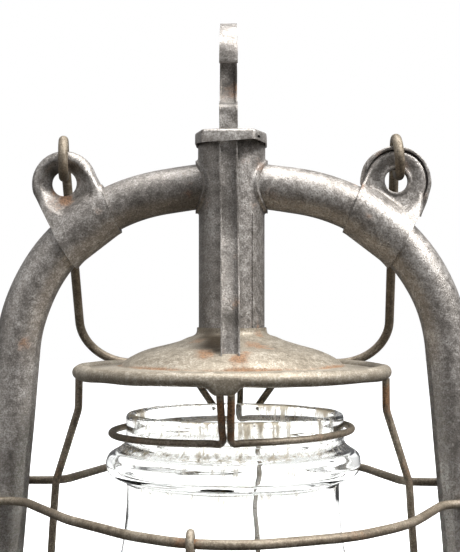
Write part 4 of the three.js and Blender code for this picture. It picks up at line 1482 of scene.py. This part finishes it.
class LANTERN_OT_air_chamber(bpy.types.Operator):
    """Turns the drum that takes the side tubes' air to the burner"""

    bl_idname = "lantern.air_chamber"
    bl_label = "Air Chamber"

    def execute(self, context):
        wall = context.scene.lantern_sizes.sheet / MM
        bottom, top, outer = CHAMBER_BOTTOM, CHAMBER_TOP, CHAMBER_RADIUS
        outline = [
            (20.5, bottom), (outer - 0.6, bottom), *arc((outer - 0.6, bottom + 0.6), 0.6, -70, 0, 4),
            (outer, 40), (outer - 0.3, 40.8), (outer, 41.6), (outer, 51), (outer - 0.3, 51.8), (outer, 52.6),
            (outer, top - 0.5), *arc((outer - 0.5, top - 0.5), 0.5, 0, 90, 4),
            (37.2, top), (37, top - wall / 2), (37.2, top - wall),
            (outer - wall, top - wall), (outer - wall, bottom + wall), (20.5, bottom + wall),
        ]
        drum = lathe("chamber", outline, 120)
        tubes = about((0, 0, TUBE_LOW), bar("tubes", TUBE_RADIUS + GAP, -60, 60, 64), "Y")
        shaft = about((SHAFT_X, 0, SHAFT_Z), bar("shaft", 1.4, 20, 60, 24))
        boolean(drum, [tubes, shaft], "DIFFERENCE")
        rust = round_spots(outer, 36, (0.4, 1.3, 2.4, 3.9, 4.8, 5.6), 6, 0.4)
        rust += [(side * 41, -9, 46, 5, 0.5) for side in (1, -1)]
        sheet_piece("air_chamber", drum, 35, rust)
        return {"FINISHED"}


def thread(root, crest, bottom, turns):
    """The outline of a screw thread with so many turns, upwards from bottom."""
    outline = []
    for i in range(turns):
        level = bottom + 1.2 * i
        outline += [(root, level), (crest, level + 0.3), (crest, level + 0.6), (root, level + 0.9)]
    return outline


class LANTERN_OT_fount(bpy.types.Operator):
    """Turns the oil fount with its threaded neck, and the ring that it stands in"""

    bl_idname = "lantern.fount"
    bl_label = "Fount and Base"

    def execute(self, context):
        wall = context.scene.lantern_sizes.sheet / MM
        bottom, radius = low("fount").z, 58
        shoulder = flowing([
            (radius, 22.6), (57.6, 25.6), (55.4, 29.4), (50, 32.0), (41.4, 33.8), (36, 34),
        ], 4)
        outside = [
            (0, bottom), (54.4, bottom), (56.6, bottom + 0.5), (57.8, bottom + 1.6), (radius, bottom + 2.6),
            (radius, 9), (57.6, 9.8), (radius, 10.6), (radius, 20.4), (57.6, 21.2), (radius, 22), *shoulder,
            (30, 34), (29.2, 33.6), (28.4, 34), (16, 34), (14.9, 34.4),
        ]
        inside = [
            (14.2, FOUNT_TOP), (14.2, 33), (36, 33), (41, 32.8), (49.6, 31), (54.6, 28.6), (56.6, 25.2),
            (57, 22), (57, 4.4), (56.4, 3.2), (54.4, 2.6), (0, 2.6),
        ]
        neck = [*thread(14.9, 15.2, FOUNT_TOP - 4.6, 4), (15.1, FOUNT_TOP)]
        fount = lathe("fount", [*outside, *neck, *inside], 144, False)
        hole = moved(bar("hole", 5.8, 20, 42, 32), Matrix.Translation((FILLER.x, FILLER.y, 0)))
        boolean(fount, [hole], "DIFFERENCE")
        rust = [(FILLER.x, FILLER.y, 32, 9, 0.35)]
        for a, level in ((0.3, 6), (1.4, 20), (2.2, 8), (3.3, 24), (4.1, 5), (4.9, 16), (5.7, 10)):
            rust += round_spots(radius, level, [a], 8, 0.42)
        sheet_piece("fount", fount, 32, rust)
        ring_radius = high("base_ring").x
        ring = [
            (52, 0.1), (52.3, 0), (58.5, 0), *arc((ring_radius - 0.8, 0.8), 0.8, -80, 0, 6),
            (ring_radius, 5.7), *arc((ring_radius - 0.3, 5.7), 0.3, 0, 90, 4), (58.5, 6), (58.45, 5.8),
            (58.45, 1.2), (52.1, 1.2), (52, 1.1),
        ]
        rust = round_spots(59, 2, (0.8, 2.0, 3.6, 4.4, 5.4), 7, 0.6)
        sheet_piece("base_ring", lathe("base", ring, 144), 35, rust)
        return {"FINISHED"}


class LANTERN_OT_filler(bpy.types.Operator):
    """Turns the filler neck, its cork gasket and the knurled cap"""

    bl_idname = "lantern.filler"
    bl_label = "Filler"

    def execute(self, context):
        place = Matrix.Translation((FILLER.x, FILLER.y, 0))
        brass = finish_of(SLOT_OF["filler_cap"])
        top = high("filler_neck").z
        screw = thread(6.75, 7.0, top - 3.9, 3)
        neck = lathe("neck", [(5.8, 25), (7, 25), (7, 33.8), *screw, (6.85, top), (5.8, top)], 48)
        shell = lathe("shell", [
            (0, 10), (58.35, 10), (58.35, 22.6), (57.95, 25.7), (55.7, 29.7), (50.2, 32.4), (41.5, 34.2),
            (36, 34.4), (0, 34.4),
        ], 144, False)
        boolean(neck, [shell], "DIFFERENCE")
        sheet_piece("filler_neck", moved(neck, place), 35)
        cork_bottom, cork_top = low("filler_gasket").z, high("filler_gasket").z
        cork = [
            (0, cork_bottom), (6.4, cork_bottom), (6.6, cork_bottom + 0.2), (6.6, cork_top - 0.2),
            (6.4, cork_top), (0, cork_top),
        ]
        sheet_piece("filler_gasket", moved(lathe("cork", cork, 48, False), place), 30)
        skirt, crown = 8.1, high("filler_cap").z
        cap = lathe("cap", [
            (0, crown - 1.2), (7.4, crown - 1.2), (7.4, 35.4), (7.6, 35.2), (8.0, 35.2), (skirt, 35.4),
            (skirt, crown - 1.1), (7.7, crown - 0.4), (7.0, crown - 0.1), (6.0, crown), (4.4, crown - 0.3),
            (0, crown - 0.4),
        ], 96, False)
        ribbed(cap, brass, 40, 8.15, 0.42, 3.6, 37.4)
        sheet_piece("filler_cap", moved(cap, place), 35, [(FILLER.x, FILLER.y, 41, 6, 0.2)])
        return {"FINISHED"}


class LANTERN_OT_burner(bpy.types.Operator):
    """Turns the brass burner: its collar, perforated basket, cone and flat wick tube"""

    bl_idname = "lantern.burner"
    bl_label = "Burner"

    def execute(self, context):
        brass = finish_of(SLOT_OF["burner_body"])
        collar = lathe("collar", [
            (15.55, 35), (17.2, 35), (17.4, 35.2), (17.4, 41.1), (17.1, 41.4), (13.8, 41.4), (13.6, 41.2),
            (13.6, 40.5), (15.55, 40.5),
        ], 120)
        ribbed(collar, brass, 72, 17.4, 0.38, 4.6, 38.1)
        sheet_piece("burner_collar", collar, 35)
        basket = lathe("basket", [
            (0, 41.8), (15.6, 41.8), (16.6, 42.2), (18.3, 43.7), (18.5, 44.3), (18.5, 53.7), (18.3, 54),
            (17.9, 54), (17.7, 53.7), (17.7, 44.5), (16.2, 43.0), (15.4, 42.6), (0, 42.6),
        ], 120, False)
        for level in (46.4, 49.0, 51.6):
            punched(basket, brass, 36, 18.1, 0.7, 3, level, True)
        slot = block("slot", (4, 16.4, 6), (0, 0, 42))
        shaft = about((SHAFT_X, 0, SHAFT_Z), bar("shaft", 1.35, -25, 25, 24))
        boolean(basket, [slot, shaft], "DIFFERENCE")
        sheet_piece("burner_body", basket, 35)
        dome_out = flowing([(19.2, 55), (19.2, 59), (17.6, 65), (13.5, 70), (7, 73), (3.3, 73.5)], 4)
        dome_in = flowing([(18.4, 55), (18.4, 59), (16.8, 64.7), (12.9, 69.3), (6.8, 72.2), (3.3, 72.7)], 4)
        dome = lathe("dome", [(18.5, 54.4), (19.1, 54.4), *dome_out, *reversed(dome_in)], 120)
        mouth = block("mouth", (4.6, 17, 12), (0, 0, 73))
        boolean(dome, [mouth], "DIFFERENCE")
        sheet_piece("burner_cone", dome, 35, (), [(0, 0, 73, 10, 0.9)])
        low_end, high_end = low("wick_tube").z, high("wick_tube").z
        height, middle = high_end - low_end, (high_end + low_end) / 2
        tube = block("tube", (3.3, 15.4, height), (0, 0, middle))
        chamfered(tube, 0.7, 4)
        cutters = [block("bore", (1.9, 13.8, height + 2), (0, 0, middle))]
        cutters += [block("window", (1.6, 1.6, 8.4), (-1.2, side * 3.5, SHAFT_Z)) for side in (-1, 1)]
        boolean(tube, cutters, "DIFFERENCE")
        sheet_piece("wick_tube", tube, 35, (), [(0, 0, 68, 7, 0.8)])
        return {"FINISHED"}


class LANTERN_OT_wick_drive(bpy.types.Operator):
    """Makes the wick and the shaft, spur wheels and thumb wheel that raise it"""

    bl_idname = "lantern.wick_drive"
    bl_label = "Wick Drive"

    def execute(self, context):
        brass = finish_of(SLOT_OF["thumb_wheel"])
        bottom, top = low("wick").z, high("wick").z
        edge = arc((0, 5.8), 0.6, 0, 180, 6)
        wick = slab("wick", [*edge, *[(-x, -y) for x, y in edge]], bottom, top)
        cuts = wick.modifiers.new("rows", "REMESH")
        cuts.mode = "SHARP"
        cuts.octree_depth = 7
        settled(wick)
        sheet_piece("wick", wick, 45, (), [(0, 0, top + 1, 5, 1.0)])
        back, front = high("wick_shaft").y, low("wick_shaft").y
        line = divided([Vector((SHAFT_X, back, SHAFT_Z)), Vector((SHAFT_X, front, SHAFT_Z))], 3)
        wire("wick_shaft", line, 1.0, 0.0, 20)
        for name, y in (("front_spur_wheel", -3.5), ("back_spur_wheel", 3.5)):
            outline = []
            for i, turn in enumerate(full_turn(40)):
                radius = 2.4 if i % 4 in (2, 3) else 3.4
                outline.append((radius * math.cos(turn), radius * math.sin(turn)))
            wheel = slab(name, outline, -y - 0.35, -y + 0.35)
            boolean(wheel, [bar("bore", 1.3, -9, 9, 24)], "DIFFERENCE")
            sheet_piece(name, about((SHAFT_X, 0, SHAFT_Z), wheel), 30)
        knob_y = (low("thumb_wheel").y + high("thumb_wheel").y) / 2
        half, radius = 1.1, 7.6
        wheel = lathe("thumb", [
            (1.3, -half), (5.6, -half), (6.1, -0.7), (6.6, -half), (radius - 0.3, -half),
            (radius, -half + 0.3), (radius, half - 0.3), (radius - 0.3, half), (6.6, half), (6.1, 0.7),
            (5.6, half), (1.3, half),
        ], 96)
        ribbed(wheel, brass, 44, radius, 0.38, 1.9, 0)
        sheet_piece("thumb_wheel", about((SHAFT_X, knob_y, SHAFT_Z), wheel), 35)
        return {"FINISHED"}


LENS = 72                       # focal length, on 36 mm film
LENS_RISE, LENS_SHIFT = 0.0634, -0.003
WHITE = (1.0, 1.0, 1.0, 1.0)
TOP_OVER_FILL = 6.5             # the light overhead, against the fill light


class LANTERN_OT_studio(bpy.types.Operator):
    """Sets the camera, the soft lights, the white room and the floor"""

    bl_idname = "lantern.studio"
    bl_label = "Studio"

    def room(self, scene, strength):
        """White for the camera and behind glass, and dimmer light from above for everything else."""
        world = bpy.data.worlds.new("room")
        world.use_nodes = True
        tree = world.node_tree
        tree.nodes.clear()
        rays = node(tree, "ShaderNodeLightPath")
        seen = maths(tree, "MAXIMUM", rays.outputs["Is Camera Ray"], rays.outputs["Is Transmission Ray"])
        place = node(tree, "ShaderNodeTexCoord").outputs["Generated"]
        height = node(tree, "ShaderNodeSeparateXYZ", {"Vector": place}).outputs["Z"]
        share = levels(tree, height, -0.6, 0.9)
        light = tint(tree, share, rgb(118, 116, 114), rgb(240, 242, 246))
        lit = maths(tree, "MAXIMUM", times(tree, seen, 1.0 / strength), 1.0)
        white = tint(tree, seen, light, WHITE)
        power = times(tree, lit, strength)
        glow = node(tree, "ShaderNodeBackground", {"Color": white, "Strength": power})
        node(tree, "ShaderNodeOutputWorld", {"Surface": glow.outputs["Background"]})
        scene.world = world

    def light(self, scene, name, place, aim, size, power):
        """A round soft light that looks at a point."""
        lamp = bpy.data.lights.new(name, "AREA")
        lamp.shape = "DISK"
        lamp.size = size
        lamp.energy = power
        holder = bpy.data.objects.new(name, lamp)
        scene.collection.objects.link(holder)
        holder.location = place
        holder.rotation_euler = (Vector(aim) - Vector(place)).to_track_quat("-Z", "Y").to_euler()

    def execute(self, context):
        scene = context.scene
        setup = scene.lantern_studio
        scene.view_settings.view_transform = "Standard"
        lens = bpy.data.cameras.new("camera")
        lens.lens = LENS
        lens.shift_y = LENS_RISE
        lens.shift_x = LENS_SHIFT
        lens.clip_start = 0.01
        camera = bpy.data.objects.new("camera", lens)
        scene.collection.objects.link(camera)
        camera.location = (
            setup.distance * math.sin(setup.turn), -setup.distance * math.cos(setup.turn), setup.height,
        )
        camera.rotation_euler = (math.radians(90), 0, setup.turn)
        scene.camera = camera
        self.light(scene, "key", (1.0, -0.6, 1.25), (0, 0, 0.2), 0.6, setup.key)
        self.light(scene, "fill", (-1.3, -0.9, 0.5), (0, 0, 0.18), 1.2, setup.fill)
        self.light(scene, "top", (0.1, -0.1, 1.5), (0, 0, 0.2), 1.0, TOP_OVER_FILL * setup.fill)
        self.room(scene, setup.room)
        half = 4.0
        corners = [(-half, -half, 0), (half, -half, 0), (half, half, 0), (-half, half, 0)]
        mesh = bpy.data.meshes.new("floor")
        mesh.from_pydata(corners, [], [(0, 1, 2, 3)])
        floor = add_object("floor", mesh)
        mesh.materials.append(studio_floor("studio_floor"))
        floor.visible_diffuse = False
        floor.visible_glossy = False
        return {"FINISHED"}


PIECES = (
    LANTERN_OT_air_tubes, LANTERN_OT_chimney, LANTERN_OT_cap, LANTERN_OT_ears, LANTERN_OT_bail,
    LANTERN_OT_guard, LANTERN_OT_hood, LANTERN_OT_strap, LANTERN_OT_neck_wires, LANTERN_OT_lift_wires,
    LANTERN_OT_globe_plate, LANTERN_OT_globe, LANTERN_OT_air_chamber, LANTERN_OT_fount,
    LANTERN_OT_filler, LANTERN_OT_burner, LANTERN_OT_wick_drive, LANTERN_OT_studio,
)


class LANTERN_PT_pieces(bpy.types.Panel):
    """The lantern's settings, and a button for each piece"""

    bl_idname = "LANTERN_PT_pieces"
    bl_label = "Lantern"
    bl_space_type = "VIEW_3D"
    bl_region_type = "UI"
    bl_category = "Lantern"

    def draw(self, context):
        layout = self.layout
        scene = context.scene
        for group in (scene.lantern_sizes, scene.lantern_colours, scene.lantern_studio):
            column = layout.column()
            for name in group.bl_rna.properties.keys():
                if name not in ("rna_type", "name"):
                    column.prop(group, name)
        for piece in PIECES:
            layout.operator(piece.bl_idname)


GROUPS = (
    ("lantern_sizes", LanternSizes),
    ("lantern_colours", LanternColours),
    ("lantern_studio", StudioSetup),
)


def register():
    for name, group in GROUPS:
        bpy.utils.register_class(group)
        setattr(bpy.types.Scene, name, bpy.props.PointerProperty(type=group))
    for piece in PIECES:
        bpy.utils.register_class(piece)
    bpy.utils.register_class(LANTERN_PT_pieces)


def unregister():
    bpy.utils.unregister_class(LANTERN_PT_pieces)
    for piece in reversed(PIECES):
        bpy.utils.unregister_class(piece)
    for name, group in reversed(GROUPS):
        delattr(bpy.types.Scene, name)
        bpy.utils.unregister_class(group)


def main():
    register()
    for piece in PIECES:
        area, name = piece.bl_idname.split(".")
        getattr(getattr(bpy.ops, area), name)()


if __name__ == "__main__":
    main()
